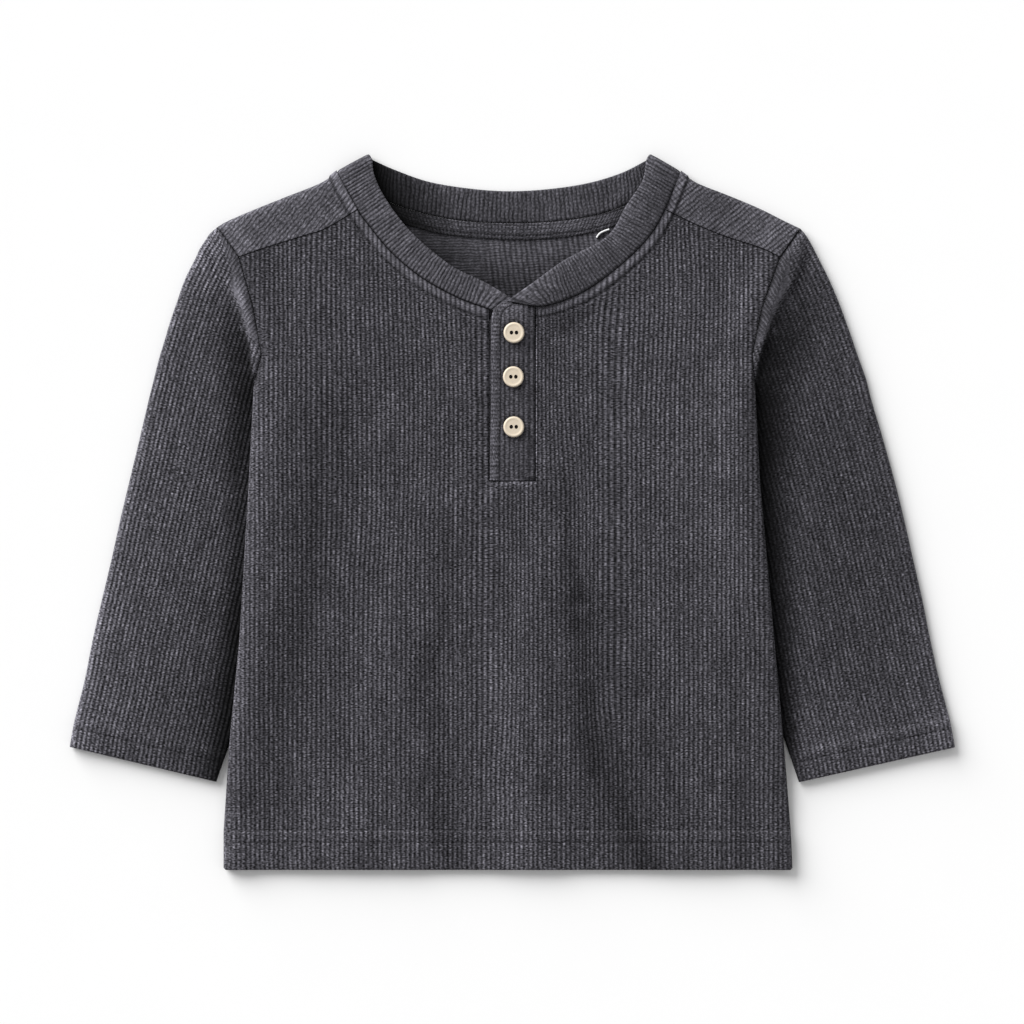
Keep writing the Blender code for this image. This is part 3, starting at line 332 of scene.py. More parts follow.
# painted light and painted shade on the front: in troughs, on ridges and under the neckband
BODY_SHADES = table("x0 y0 x1 y1 half_width height",
    (-77, 70, -112, -95, 17, -0.3), (-59.8, -10, -86, -205, 12, 0.15), (-26.6, -10, -40, -84, 10, -0.2),
    (-46, -62, -24, -205, 12, -0.27), (-13.5, -30, 6, -205, 13, 0.25), (22.8, 28, 32, -60, 9, -0.28),
    (30.5, -28, 39, -140, 11, -0.32), (39, -106, 77, -205, 14, -0.34), (-1.2, 9, 1.2, -20, 8, -0.14),
    (66, -32, 87, -130, 10, 0.13), (73, 104, 68, 5, 34, 0.13), (105, -50, 113, -205, 13, -0.17),
    (6, 80, 48, 102, 5, -0.26), (120.5, 125, 104, 82, 6.5, 0.42), (40, -5, 76, -220, 46, -0.19),
    (50, 101, 66, 92, 8, 0.2), (64, 112, 84, 90, 14, 0.18), (107, 126, 107, 119, 8, 0.2),
    (45, 84, 60, 84, 8, 0.15), (-80, 116, -80, 96, 9, 0.2), (-42.5, -104, -42.5, -122, 9, 0.32),
    (7.4, -130, 8, -168, 8, 0.27), (-124, -140, -126, -168, 14, 0.22), (95, -86, 95, -94, 7, -0.25),
    (32.4, -44, 32.4, -50, 8, 0.42), (-55, 87, -55, 79, 7, 0.2), (-130, -50, -130, -112, 7, 0.2),
    (-55, 114, -55, 108, 8, 0.14), (11.1, 97, 11.1, 16, 1.1, 1.6), (-11.5, 86, -11.4, 34, 1.6, 0.9),
    (-11.4, 34, -11.4, 16, 1.2, 0.3), (-9, 14.4, 8, 14.4, 1.4, 1), (45, -112, 45, -135, 8, 0.1),
    (100.6, 100, 100.6, -45, 9, 0.14), (-10.8, 19, -10.8, 0, 4, 0.4), (5, -24, 5.6, -42, 5, 0.26),
    (-103, -110, -84, -205, 20, 0.11), (-15.1, 86, -15.1, 0, 4.5, -0.15), (-102, 128, -108, 76, 18, 0.08),
)
# painted shadow in the opening beside the left of the neckband: how wide it is, and how much light is left at the
# band
OPENING_SHADE = table("y wide left",
    (105, 14, 0.5), (116, 15, 0.45), (126, 12, 0.33), (130, 13, 0.28), (134, 15, 0.06), (137, 17, 0.02),
    (146, 26, 0.05), (154, 26, 0.02), (166, 26, 0.02),
)
# where each band rib that starts at a share of the seam ends on the free edge: at the back, and down either front
BACK_RIBS = table("seam free",
    (0, 0), (0.1, 0.025), (0.175, 0.09), (0.27, 0.225), (0.39, 0.37), (0.51, 0.511), (0.63, 0.653),
    (0.735, 0.772), (0.825, 0.9), (0.9, 0.975), (1, 1),
)
FRONT_RIBS = {
    -1: table("seam free",
        (0, 0), (0.15, 0.144), (0.35, 0.342), (0.45, 0.432), (0.55, 0.515), (0.75, 0.69), (0.88, 0.808), (1, 1),
    ),
    1: table("seam free",
        (0, 0), (0.3, 0.3), (0.42, 0.41), (0.55, 0.49), (0.72, 0.63), (0.86, 0.73), (0.95, 0.87), (1, 1),
    ),
}
# painted shade on the sleeves by the body: how far it reaches, how deep it is, and how deep a fainter, wider one is
SLEEVE_SHADE = {
    -1: table("y reach deep faint",
        (-114, 13, 0.88, 0.6), (-81, 13, 0.85, 0.55), (-52, 12, 0.84, 0.42), (-23, 13, 0.68, 0.17),
        (6, 13, 0.6, 0.25), (30, 21, 0.76, 0.15), (54, 22, 0.88, 0), (78, 22, 0.74, 0), (92, 18, 0.52, 0),
        (102, 14, 0.26, 0), (111, 12, 0, 0),
    ),
    1: table("y reach deep faint",
        (-114, 12, 0.86, 0), (-81, 13.5, 0.88, 0), (-52, 15.5, 0.86, 0), (-23, 17, 0.86, 0.04),
        (6, 17.5, 0.88, 0.05), (30, 23, 0.9, 0.06), (54, 26, 0.9, 0.06), (78, 29, 0.78, 0.12),
        (92, 30, 0.46, 0.1), (102, 26, 0.3, 0), (111, 20, 0.28, 0), (121, 12, 0.1, 0),
    ),
}
# how much painted light lies by each sleeve's outer fold, and the painted light or shade on the sleeve as a whole
SLEEVE_LIGHT = {
    -1: table("y fold whole",
        (-100, 1.25, 1.02), (-81, 1.25, 1.02), (-33, 1, 1.03), (15, 0.65, 1.08), (40, 0.6, 1.1),
        (82, 0.55, 1.1), (102, 0.65, 1.08), (121, 0.6, 1.36), (134, 0.6, 1.5),
    ),
    1: table("y fold whole",
        (-112, 0.5, 1.15), (-81, 0.5, 0.88), (-33, 0.4, 0.8), (15, 0.4, 0.8), (63, 0.3, 0.78), (102, 0.3, 0.82),
        (121, 0.3, 0.9), (134, 0.4, 0.95),
    ),
}
# a painted highlight along the body's rounded left side: how wide, how much
SIDE_LIGHT = table("y wide much",
    (-205, 7, 0.42), (-109, 7, 0.32), (-81, 8, 0.36), (-52, 11, 0.36), (-23, 11, 0.28), (6, 12, 0.4),
    (30, 13, 0.6), (54, 14, 0.42), (66, 8, 0.3), (78, 6, 0),
)
# where ribs stray sideways: a place, how wide and tall the bend is, and how far the ribs' tops are carried left
STRAYS = table("x y wide tall shift",
    (-50, 87, 50, 36, 2.2), (75, 78, 45, 36, -2), (44, 98, 14, 12, -1.4), (27, 28, 17, 32, 3),
    (-68, -18, 36, 24, -1.7), (-45, 8, 25, 16, -0.8), (42, -103, 15, 26, 2.8), (-5, -112, 16, 24, -1.7),
    (112, -50, 13, 16, 1.1), (86, 124, 17, 14, 1.7), (-92, 124, 15, 14, -0.7), (-100, 20, 14, 14, 0.6),
)
FAINT_REACH = 34.0


def seam_shade(away, x=-1.0):
    """Painted shade darkens the cloth into a seam, more on the left: from 0.4 at the seam to 1 under a millimetre
    away.
    """
    least = 0.4 + 0.3 * smooth((x + 12.0) / 16.0) - 0.1 * smooth((x - 20.0) / 20.0)
    return least + (1 - least) * smooth(away / 0.8)


def armhole_shade(away, y):
    """Painted shade along the armhole seam: dark near the shoulder and none by the underarm."""
    return 1 - 0.7 * (1 - smooth(away / 1.1)) * smooth((y - 80.0) / 14.0)


def opening_shade(x, y):
    """Painted shadow on the inside of the back, dark under the left of the neckband and more widely so at the top,
    and a little by the right one.
    """
    wide, least = (read(OPENING_SHADE, y, name) for name in ("wide", "left"))
    out = NECK_FREE[-1].away(x, y)
    left = (least + (1 - least) * np.clip(out / wide, 0, 1) ** 1.25) * (1 - 0.38 * np.exp(-out / 18.0))
    right = 0.7 + 0.3 * smooth(NECK_FREE[1].away(x, y) / 6.0)
    return left * right


def front_shade(x, y):
    """Painted shade and light of the front's seams, sides and creases together, with a painted highlight on the rope
    and a dark line of stitches and painted shade beside the neck seam.
    """
    neck = from_neck(x, y)
    seam = np.minimum(neck, np.minimum(SHOULDER_SEAM[-1].away(x, y), SHOULDER_SEAM[1].away(x, y)))
    left, right = x - body_edge(y, -1), body_edge(y, 1) - x
    wide = read(SIDE_LIGHT, y, "wide")
    light = read(SIDE_LIGHT, y, "much") * bell((left - 0.55 * wide) / wide)
    light = light - 0.2 * bell((right - 5.0) / 5.0) * smooth((75.0 - y) / 20.0)
    rope = 0.32 * bell((neck - 2.2) / 2.0) - 0.35 * bell((neck - NECK_STITCH) / 1.1)
    rope = rope * np.where(x > 0, smooth((x - 13.0) / 3.0), 0.5 * smooth((-x - 14.0) / 6.0))
    arm = armhole_shade(np.minimum(left, right), y)
    return seam_shade(seam, x) * arm * (1 + rope) * (1 + light + creases(x, y, BODY_SHADES))


def hem_fold(y):
    return HEM_FOLD * smooth((HEM_TOP + 0.6 - y) / 1.2)


def back_floor(x, y):
    return side_lift(x, y, LIFT_FALL_BACK)


def front_floor(x, y):
    """Underside of the front panel and of the shoulder flaps: the layers beneath, the air in the folds and the lift.

    Broad folds and creases come on top, and together go no lower than 0.1 mm under the level cloth.
    """
    folds = front_folds(x, y)
    return (CLOTH + LAYER_GAP + hem_fold(y) + fold_air(x, y) + folds
            + side_lift(x, y, LIFT_FALL_FRONT) + np.maximum(creases(x, y, BODY_CREASES), -folds - 0.1))


def neck_ridge(x, y):
    """The seam allowance pressed down along the neckband raises a strip of the cloth."""
    return NECK_RIDGE * smooth((NECK_RIDGE_WIDTH + 1.0 - from_neck(x, y)) / 1.0)


def edge_round(t):
    """The share of its thickness that cloth has t millimetres inside a rounded hem: 0.45 and a quarter circle."""
    return 0.45 + 0.55 * quarter_round(t)


def hem_round(y):
    return edge_round(y - HEM_Y)


def marked(low, from_hem, from_seam):
    """The marks that tell the distance from a hem where low, and from a seam elsewhere."""
    return np.where(low, HEM_MARK + np.clip(from_hem, 0, MARK_REACH), SEAM_MARK - np.clip(from_seam, 0, MARK_REACH))


def rib(u, pitch):
    """A rounded rib over a narrow groove: a raised cosine of u over the pitch, flattened on its crest."""
    return smooth((np.cos(2 * np.pi * u / pitch) + 0.95) / 1.25)


# ---------------------------------------------------------------- walls

FAR = 160.0             # an edge distance that no stitch line has
WELD, WELD_SHIFT = 0.004, 0.3137        # points in one cell of this grid, shifted off round numbers, are one


class Wall:
    """Grids of points and strips between their edges, welded at the end into one closed mesh.

    Each point has its place in the knit (across the ribs and along them), its distance along and from a sewn
    edge, how strongly its ribs show, and the painted shade or painted light on it.
    """

    def __init__(self):
        self.points, self.knit, self.edge, self.relief, self.shade, self.triangles = [], [], [], [], [], []
        self.count = 0

    def add(self, x, y, z, knit, edge=None, relief=1.0, shade=1.0):
        x, y, z, ku, kv, relief, shade = np.broadcast_arrays(x, y, z, *knit, relief, shade)
        eu, ev = np.broadcast_arrays(x, *((0.0, FAR) if edge is None else edge))[1:]
        for rows, values in ((self.points, (x, y, z)), (self.knit, (ku, kv)), (self.edge, (eu, ev))):
            rows.append(np.stack(values, -1).reshape(-1, len(values)))
        self.relief.append(np.ravel(relief))
        self.shade.append(np.ravel(shade))
        ids = np.arange(self.count, self.count + x.size).reshape(x.shape)
        self.count += x.size
        return ids

    def x(self, ids):
        """The x of points already in the wall."""
        return np.vstack(self.points)[ids, 0]

    def skin(self, ids):
        """Two triangles for each square of a grid."""
        a, b, c, d = ids[:-1, :-1], ids[:-1, 1:], ids[1:, 1:], ids[1:, :-1]
        self.triangles += [np.stack(t, -1).reshape(-1, 3) for t in ((a, b, c), (a, c, d))]
        return ids

    def strip(self, a, b, at_a=None, at_b=None):
        """Triangles between two rows of points, each with its own count, in the order of their marks."""
        at_a = np.linspace(0, 1, len(a)) if at_a is None else np.asarray(at_a, float)
        at_b = np.linspace(0, 1, len(b)) if at_b is None else np.asarray(at_b, float)
        mid_a, mid_b = (at_a[1:] + at_a[:-1]) / 2, (at_b[1:] + at_b[:-1]) / 2
        over, under = np.searchsorted(mid_b, mid_a, side="left"), np.searchsorted(mid_a, mid_b, side="right")
        self.triangles += [np.stack([a[:-1], a[1:], b[over]], -1), np.stack([b[1:], b[:-1], a[under]], -1)]

    def join(self, outer, inner):
        """Strips between the edges of the outer face and those of the same names on the inner one."""
        for key, (a, at_a) in outer.items():
            b, at_b = inner[key]
            self.strip(a, b, at_a, at_b)

    def tube(self, ids):
        """A grid whose every row is a closed loop; a loop at an end is closed by a strip between its two halves."""
        self.skin(np.concatenate([ids, ids[:, :1]], axis=1))
        for loop in (ids[0], ids[-1]):
            half = len(loop) // 2
            self.strip(loop[:half], loop[half:][::-1])

    def build(self, name, material, sharp=None):
        """Weld points that share a place, drop what collapsed, turn the faces outwards and make the piece."""
        points = np.vstack(self.points)
        _, first, place = np.unique(np.round(points / WELD + WELD_SHIFT).astype(np.int64), axis=0,
                                    return_index=True, return_inverse=True)
        corners = np.vstack(self.triangles)
        welded = place.ravel()[corners]
        kept = (welded != np.roll(welded, -1, axis=1)).all(axis=1)
        flat = corners[kept].ravel()
        used, numbers = np.unique(welded[kept], return_inverse=True)
        numbers = numbers.reshape(-1, 3)
        spots = (points[first[used]] + MOVE) * MM
        mesh = bpy.data.meshes.new(name)
        mesh.vertices.add(len(spots))
        mesh.vertices.foreach_set("co", spots.ravel())
        mesh.loops.add(numbers.size)
        mesh.loops.foreach_set("vertex_index", numbers.ravel().astype(np.int32))
        mesh.polygons.add(len(numbers))
        mesh.polygons.foreach_set("loop_start", np.arange(0, numbers.size, 3, dtype=np.int32))
        for layer, values in (("knit", self.knit), ("edge", self.edge)):
            mesh.uv_layers.new(name=layer, do_init=False)
            mesh.uv_layers[layer].uv.foreach_set("vector", np.vstack(values)[flat].astype(np.float32).ravel())
        for layer, values in (("relief", self.relief), ("shade", self.shade)):
            mesh.attributes.new(layer, "FLOAT", "CORNER").data.foreach_set(
                "value", np.concatenate(values)[flat].astype(np.float32))
        mesh.update(calc_edges=True)
        work = bmesh.new()
        work.from_mesh(mesh)
        bmesh.ops.recalc_face_normals(work, faces=work.faces[:])
        if work.calc_volume(signed=True) < 0:
            bmesh.ops.reverse_faces(work, faces=work.faces[:])
        work.to_mesh(mesh)
        work.free()
        mesh.shade_smooth()
        if sharp is not None:
            mesh.set_sharp_from_angle(angle=sharp)
        mesh.materials.append(material)
        obj = bpy.data.objects.new(name, mesh)
        bpy.context.scene.collection.objects.link(obj)
        return obj


# ---------------------------------------------------------------- body

def edge_turn(y):
    """How far a body edge turns down: a quarter round at a side fold, a little at an armhole seam."""
    return np.radians(90.0 - 55.0 * smooth((y - UNDERARM_Y) / (TURN_TOP_Y - UNDERARM_Y)))


def edge_start(y, side):
    """Where the level part of a panel ends and its turned edge begins."""
    seam = np.where(y > UNDERARM_Y, SEAM_GAP / 2, 0.0)
    return body_edge(y, side) - side * (seam + SIDE_RADIUS * np.sin(edge_turn(y)))


def seam_top(x, side):
    """The height at which x meets the shoulder seam or the neck seam above it, and how steep the seam is there."""
    neck = NECK_SEAM[side].path
    line = np.vstack([SHOULDER_SEAM[side].path, neck[neck[:, 1] < NECK_CORNER_Y]])
    ex, ey = line[np.argsort(line[:, 0])].T
    steep = np.hypot(1, np.interp(x, ex, np.gradient(ey, ex)))
    return np.interp(x, ex, ey) - SEAM_GAP / 2 * steep, np.minimum(steep, 1.8)


RIDGE_ROWS = np.array([8.6, 7.4, 6.9, 6.5, 6.25, 6.0, 5.75, 5.4, 4.4, 3.2, 2.0, 1.0, 0.5, 0.2, 0.0])


def front_upper_rows(x, side, fine):
    """Heights of the rows above the slit's foot at each x: even shares, then lines side by side with the seam."""
    top, steep = seam_top(x, side)
    by_seam = RIDGE_ROWS if fine else np.array([6.5, 0.0])
    reach = np.minimum(by_seam[0] * steep, top - SLIT_BOTTOM - 2.0)
    share = np.linspace(0, 1, 45 if fine else 10)[1:]
    lower = SLIT_BOTTOM + share.reshape(-1, *[1] * np.ndim(x)) * (top - reach - SLIT_BOTTOM)
    upper = top - (by_seam[1:] / by_seam[0]).reshape(-1, *[1] * np.ndim(x)) * reach
    return np.concatenate([lower, upper])


def side_relief(x, y):
    """The ribs are stretched flat where the cloth turns over a side fold, less so on the right."""
    left, right = x - body_edge(y, -1), body_edge(y, 1) - x
    return (0.65 + 0.35 * smooth((left - 2.0) / 4.0)) * (0.75 + 0.25 * smooth((right - 2.0) / 3.0))


def lean(x, y):
    """The place across the ribs: x, plus each stray's shift times a bell across it and a soft step up it."""
    moved = x + 0.12 * np.sin(0.11 * x + 0.045 * y)
    for at_x, at_y, wide, tall, shift in zip(*STRAYS.values()):
        moved = moved + shift * bell((x - at_x) / wide) * smooth(0.5 + (y - at_y) / (2 * tall))
    return moved


def front_relief(x, y):
    """Ribs fade at a side fold and are pressed flat over the neck ridge and along the seams."""
    return side_relief(x, y) * (1 - 0.45 * smooth((6.6 - from_neck(x, y)) / 0.6))


def front_edge(x, y):
    """Distance along and from a sewn edge: the hem below, the neck seam above."""
    (away, along), (away_right, along_right) = (NECK_SEAM[side].near(x, y) for side in SIDES)
    hem = y < -20.0
    along = np.where(hem, x, np.where(away < away_right, along, along_right))
    return along, marked(hem, y - HEM_Y, np.minimum(away, away_right))


def front_outer(wall, x, y):
    """Points of the front's outer face at x, y."""
    relief = front_relief(x, y)
    ends = smooth(np.minimum(x - edge_start(y, -1), edge_start(y, 1) - x) / 1.2)
    along, away = front_edge(x, y)
    stitches = [HEM_MARK + s for s in HEM_STITCH] + [SEAM_MARK - NECK_STITCH]
    stitch = sum(bell((away - s) / STITCH_HALF) for s in stitches)
    across = lean(x, y)
    raised = (RIB_RAISE * rib(across, RIB_PITCH) * relief - STITCH_DENT * stitch) * ends
    z = front_floor(x, y) + (CLOTH + hem_fold(y) + neck_ridge(x, y) + raised) * hem_round(y)
    return wall.add(x, y, z, (across, y), (along, away), relief, front_shade(x, y))


def turned_edge(wall, x, y, side, outer, front, count):
    """From a panel's last column, round its side: columns on an arc about the fold's middle.

    Each point lies at the radius times the sine of its angle beyond the column and at the cosine above the middle.
    """
    thick = CLOTH + hem_fold(y) + (neck_ridge(x, y) if front else 0.0)
    if front:
        floor = front_floor(x, y)
        middle = floor + thick - SIDE_RADIUS
        high = floor + thick * hem_round(y) - middle if outer else floor - middle
    else:
        middle = back_floor(x, y) + SIDE_RADIUS
        high = back_level(x, y, outer) - middle
    wide = SIDE_RADIUS * np.ones(len(y)) if outer else np.maximum(SIDE_RADIUS - thick, 0.25)
    a = edge_turn(y)[:, None] * np.linspace(0, 1, count)[None, :]
    start, along = (np.broadcast_to(v[:, None], a.shape) for v in (x, y))
    turned = (start + side * wide[:, None] * np.sin(a), along, middle[:, None] + high[:, None] * np.cos(a))
    knit = (lean(x, y)[:, None] + side * wide[:, None] * a, along)
    relief = side_relief(body_edge(y, side) - side, y)[:, None]
    if not front:
        return wall.skin(wall.add(*turned, knit, None, relief))
    # painted shade of the front, darker still where the edge turns down at the armhole
    shade = front_shade(start, along) * np.where(along > UNDERARM_Y, 1 - 0.3 * smooth(a / 0.6), 1.0)
    return wall.skin(wall.add(*turned, knit, front_edge(start, along), relief, shade))


def clip_to(x, y, limits, snap):
    """Columns that run past a limit (side, x, y) stop on it; a column within snap of it is moved onto it."""
    for side, lx, ly in limits:
        past = side * (x - lx[:, None]) > -snap
        x, y = np.where(past, lx[:, None], x), np.where(past, ly[:, None], y)
    return x, y


def back_level(x, y, outer):
    """Height of the back panel's underside or of its inner face; the underside rises to the rounded hem."""
    thick = CLOTH + hem_fold(y)
    return back_floor(x, y) + (thick * (1 - hem_round(y)) * 0.9 if outer else thick)


def edgewise(side, turned, row):
    """A row of the panel with its turned edge, from the left to the right."""
    return np.concatenate([turned[::-1], row] if side < 0 else [row, turned])


def front_face(wall, outer):
    """One face of the front: columns stand still while the sides cut them off, and the slit parts the upper rows."""
    pitch = RIB_PITCH / 4 if outer else RIB_PITCH * 2.5
    count = 7 if outer else 3
    columns = np.arange(np.floor(-140.0 / pitch), np.ceil(136.0 / pitch) + 1) * pitch
    snap = pitch / 2
    if outer:
        low = np.concatenate([
            HEM_Y + np.array([0, 0.06, 0.2, 0.45, 0.7]), steps(HEM_Y + 1.0, -158.9), [-158.65, -158.4, -158.15],
            steps(-157.9, -153.1, step=1.6), [-152.85, -152.6, -152.35], steps(-152.1, SLIT_BOTTOM)])
    else:
        low = np.array([HEM_Y + 0.3, HEM_TOP - 0.6, HEM_TOP + 0.6,
                        -130.0, -112.0, -90.0, -61.4, -36.0, -12.0, SLIT_BOTTOM])

    def points(x, y):
        return wall.skin(front_outer(wall, x, y) if outer else wall.add(x, y, front_floor(x, y), (x, y)))

    ends = {side: edge_start(low, side) for side in SIDES}
    x, y = np.broadcast_arrays(columns[None, :], low[:, None])
    grid = points(*clip_to(x, y, [(side, ends[side], low) for side in SIDES], snap))
    lower = {side: turned_edge(wall, ends[side], low, side, outer, True, count) for side in SIDES}
    hem = np.concatenate([lower[-1][0][::-1], grid[0], lower[1][0]])
    inside = (columns >= SLIT_LEFT - 1e-6) & (columns <= SLIT_RIGHT + 1e-6)
    made = {"hem": (hem, wall.x(hem)), "foot": (grid[-1][inside], columns[inside])}
    for side in SIDES:
        limit = SLIT_LEFT if side < 0 else SLIT_RIGHT
        own = columns[side * (columns - limit) >= -1e-6]
        ly = front_upper_rows(np.array([edge_start(90.0, side)]), side, outer)[:, 0]
        for _ in range(10):         # each row's end hangs on its height, and its height on its end
            ly = np.diagonal(front_upper_rows(edge_start(ly, side), side, outer)).copy()
        lx = edge_start(ly, side)
        y = front_upper_rows(own, side, outer)
        x, y = clip_to(np.broadcast_to(own[None, :], y.shape), y, [(side, lx, ly)], snap)
        start = edge_start(SLIT_BOTTOM, side)
        first = np.where(side * (own - start) > -snap, start, own)
        x, y = np.vstack([first[None, :], x]), np.vstack([np.full((1, len(own)), SLIT_BOTTOM), y])
        grid = points(x, y)
        slit = -1 if side < 0 else 0
        upper = turned_edge(wall, np.append(start, lx), np.append(SLIT_BOTTOM, ly), side, outer, True, count)
        top = edgewise(side, upper[-1], grid[-1])
        made["slit", side] = grid[:, slit], y[:, slit]
        made["top", side] = top, wall.x(top)
        made["side", side] = np.concatenate([lower[side][:, -1], upper[1:, -1]]), np.concatenate([low, ly])
    return made


def front_panel(material):
    """The front: a fine ribbed outer face, a plain inner face, and a strip round every edge."""
    wall = Wall()
    wall.join(front_face(wall, True), front_face(wall, False))
    return wall.build("front_knit", material)


FLAP_TURN = 12          # steps over a shoulder fold


def armhole(side):
    """The whole armhole seam in the plan, from the underarm up to the shoulder point."""
    lower = [(float(body_edge(y, side)), y) for y in (UNDERARM_Y, TURN_TOP_Y, 98.0, CORNER_Y)]
    return Line(*lower, SHOULDER_POINT[side], bent=False)


ARMHOLE = {side: armhole(side) for side in SIDES}


def flap_rows(side, s, outer):
    """The back panel's turn over one shoulder: the bottom of the fold, the fold, and the flap to its seam.

    s is the share of the way from the sleeve (0) to the neck (1). The turn is half a circle about a line inside the
    fold; the flap runs straight from there to the forward shoulder seam.
    """
    line, seam, neck = SHOULDER_FOLD[side], SHOULDER_SEAM[side], NECK_SEAM[side]
    ahead = line.ahead(s, 0.05)
    square = np.stack([-ahead[:, 1], ahead[:, 0]], axis=-1) * -side
    corner = seam.at(s)
    at_sleeve, at_neck = (unit(line.at(end) - seam.at(end)) for end in (0.0, 1.0))
    w_sleeve, w_neck = smooth(1 - s / 0.25)[:, None], smooth((s - 0.75) / 0.25)[:, None]
    out = unit(square * (1 - w_sleeve - w_neck) + at_sleeve * w_sleeve + at_neck * w_neck)
    radius = FOLD_THICK / 2
    along = ahead * np.where(s <= 0, SEAM_GAP / 2, np.where(s >= 1, 0.1, 0.0))[:, None]
    centre = line.at(s) - radius * out + along
    ridge = NECK_RIDGE * smooth((NECK_RIDGE_WIDTH + 1.2 - (1 - s) * line.length) / 1.2)
    start, chord = line.at(0.0), unit(line.at(1.0) - line.at(0.0))
    neck_share = np.linalg.norm(line.at(1.0) - seam.at(1.0)) / neck.length
    by_neck = smooth((s - 0.85) / 0.15)[:, None]

    def bowed(share):
        """How far the neck seam bows from the straight line between the flap's two corners."""
        straight = neck.at(0.0) + share * (neck.at(neck_share) - neck.at(0.0))
        return (neck.at(share * neck_share) - straight) * by_neck

    def mirrored(p):
        """A place on the flap as it lay in the back before the flap was folded over: its reflection in the fold."""
        q = p - start
        return start + 2 * (q @ chord)[:, None] * chord - q

    rows = []
    turn = FLAP_TURN if outer else 3
    for k in range(turn + 1):
        a = -np.pi / 2 + np.pi * k / turn
        r = radius + ridge * smooth(k / turn * 2 - 0.2) if outer else np.full(len(s), radius - CLOTH)
        p = centre + (r * np.cos(a))[:, None] * out
        rows.append((p, radius + r * np.sin(a), mirrored(centre + (radius * (np.pi / 2 - a)) * out)))
    for share in np.linspace(0, 1, 44 if outer else 5)[1:]:
        p = centre + share * (corner - centre + along) + bowed(share)
        if share == 1.0:
            p = p + SEAM_GAP * out + along
        z = front_floor(*p.T)
        if outer:
            z = z + CLOTH + np.where(s > 0.5, neck_ridge(*p.T), 0.0)
        rows.append((p, z, mirrored(p)))
    return rows


def flap(wall, side, s, outer):
    """The grid of a shoulder flap, its ribs standing at the slant that folding over gives them."""
    rows = flap_rows(side, s, outer)
    (x, y), (u, v) = (np.moveaxis(np.stack([row[k] for row in rows]), -1, 0) for k in (0, 2))
    z = np.stack([row[1] for row in rows])
    seam, along = NECK_SEAM[side].near(x, y)
    if outer:
        down = np.linspace(0, 1, len(rows))[:, None]
        ends = smooth((down - 0.12) / 0.1) * smooth((1 - down) / 0.03)
        ends = ends * (smooth(s / 0.03) * smooth((1 - s) / 0.03))[None, :]
        z = z + (0.25 * RIB_RAISE * rib(u, RIB_PITCH) - STITCH_DENT * bell((seam - NECK_STITCH) / 0.5)) * ends
    # painted shade at the seams and armhole; painted light on the left flap towards its tip, painted shade on the
    # right one
    shade = seam_shade(np.minimum(seam, SHOULDER_SEAM[side].away(x, y))) * armhole_shade(ARMHOLE[side].away(x, y), y)
    shade = shade * (1.22 + 0.28 * smooth((-120.0 - x) / 14.0) if side < 0 else 0.94 - 0.18 * bell((x - 97.0) / 14.0))
    return wall.skin(wall.add(x, y, z, (u, v), (along, marked(False, 0, seam)), 0.5 if outer else 0.0, shade))


def back_panel(material):
    """The back: a plain panel whose top turns over each shoulder as a flap."""
    wall = Wall()
    made = {}
    low = np.array([HEM_Y, HEM_Y + 0.3, HEM_Y + 1.0, HEM_TOP - 0.6, HEM_TOP + 0.6, *np.linspace(-140, 0, 12),
                    SLIT_BOTTOM, 30.0, 45.0, UNDERARM_Y, 67.0, TURN_TOP_Y, 86.0, 98.0, 110.0, CORNER_Y])
    ends = {side: edge_start(low, side) for side in SIDES}
    x, y = np.broadcast_arrays(np.linspace(-142.0, 138.0, 71)[None, :], low[:, None])
    x, y = clip_to(x, y, [(side, ends[side], low) for side in SIDES], 1.5)
    seam = BACK_NECK_SEAM.moved(np.linspace(0, 1, 70)[1:-1], np.full(68, -SEAM_GAP / 2)).T
    for outer in (True, False):

        def points(x, y, z):
            """Ribs show on the outer face; the inner one gets the painted shadow of the neck opening."""
            return wall.add(x, y, z, (x, y), None, float(outer), 1.0 if outer else opening_shade(x, y))

        grid = wall.skin(points(x, y, back_level(x, y, outer)))
        turned = {s: turned_edge(wall, ends[s], low, s, outer, False, 7 if outer else 3) for s in SIDES}
        flaps = {s: flap(wall, s, np.linspace(0, 1, 128 if outer else 27), outer) for s in SIDES}
        neck = points(*seam, 0.0 if outer else CLOTH)
        top = np.concatenate([flaps[-1][0], neck, flaps[1][0][::-1]])
        row, hem = (np.concatenate([turned[-1][k][::-1], grid[k], turned[1][k]]) for k in (-1, 0))
        wall.strip(row, top, wall.x(row), wall.x(top))
        edges = {"hem": (hem, wall.x(hem)),
                 "neck": (np.concatenate([flaps[-1][0][-1:], neck, flaps[1][0][-1:]]), None)}
        for s in SIDES:
            up = np.concatenate([turned[s][:, -1], flaps[s][:, 0]])
            edges["side", s] = up, np.concatenate([low, CORNER_Y + 1 + np.linspace(0, 1, len(flaps[s]))])
            edges["seam", s] = flaps[s][-1], None
            edges["by neck", s] = flaps[s][:, -1], None
        made[outer] = edges
    wall.join(made[True], made[False])
    return wall.build("back_knit", material)


# ---------------------------------------------------------------- sleeves

def ray_reach(base, way, line):
    """How far each ray from base along way goes before it meets the line: the nearest crossing of its segments."""
    best = np.full(len(base), 1e9)
    for a, b in zip(line[:-1], line[1:]):
        e = b - a
        cross = way[:, 0] * e[1] - way[:, 1] * e[0]
        cross = np.where(np.abs(cross) < 1e-9, 1e-9, cross)
        d = a - base
        t = (d[:, 0] * e[1] - d[:, 1] * e[0]) / cross
        w = (d[:, 0] * way[:, 1] - d[:, 1] * way[:, 0]) / cross
        hit = (t > -0.5) & (w >= -1e-6) & (w <= 1 + 1e-6)
        best = np.where(hit & (t < best), t, best)
    return best


SLEEVE_CREASES = {
    -1: table("x0 y0 x1 y1 half_width height", (-150, 70, -133, -30, 12, -0.3)),
    1: table("x0 y0 x1 y1 half_width height", (150, 70, 131, -30, 12, -0.3)),
}


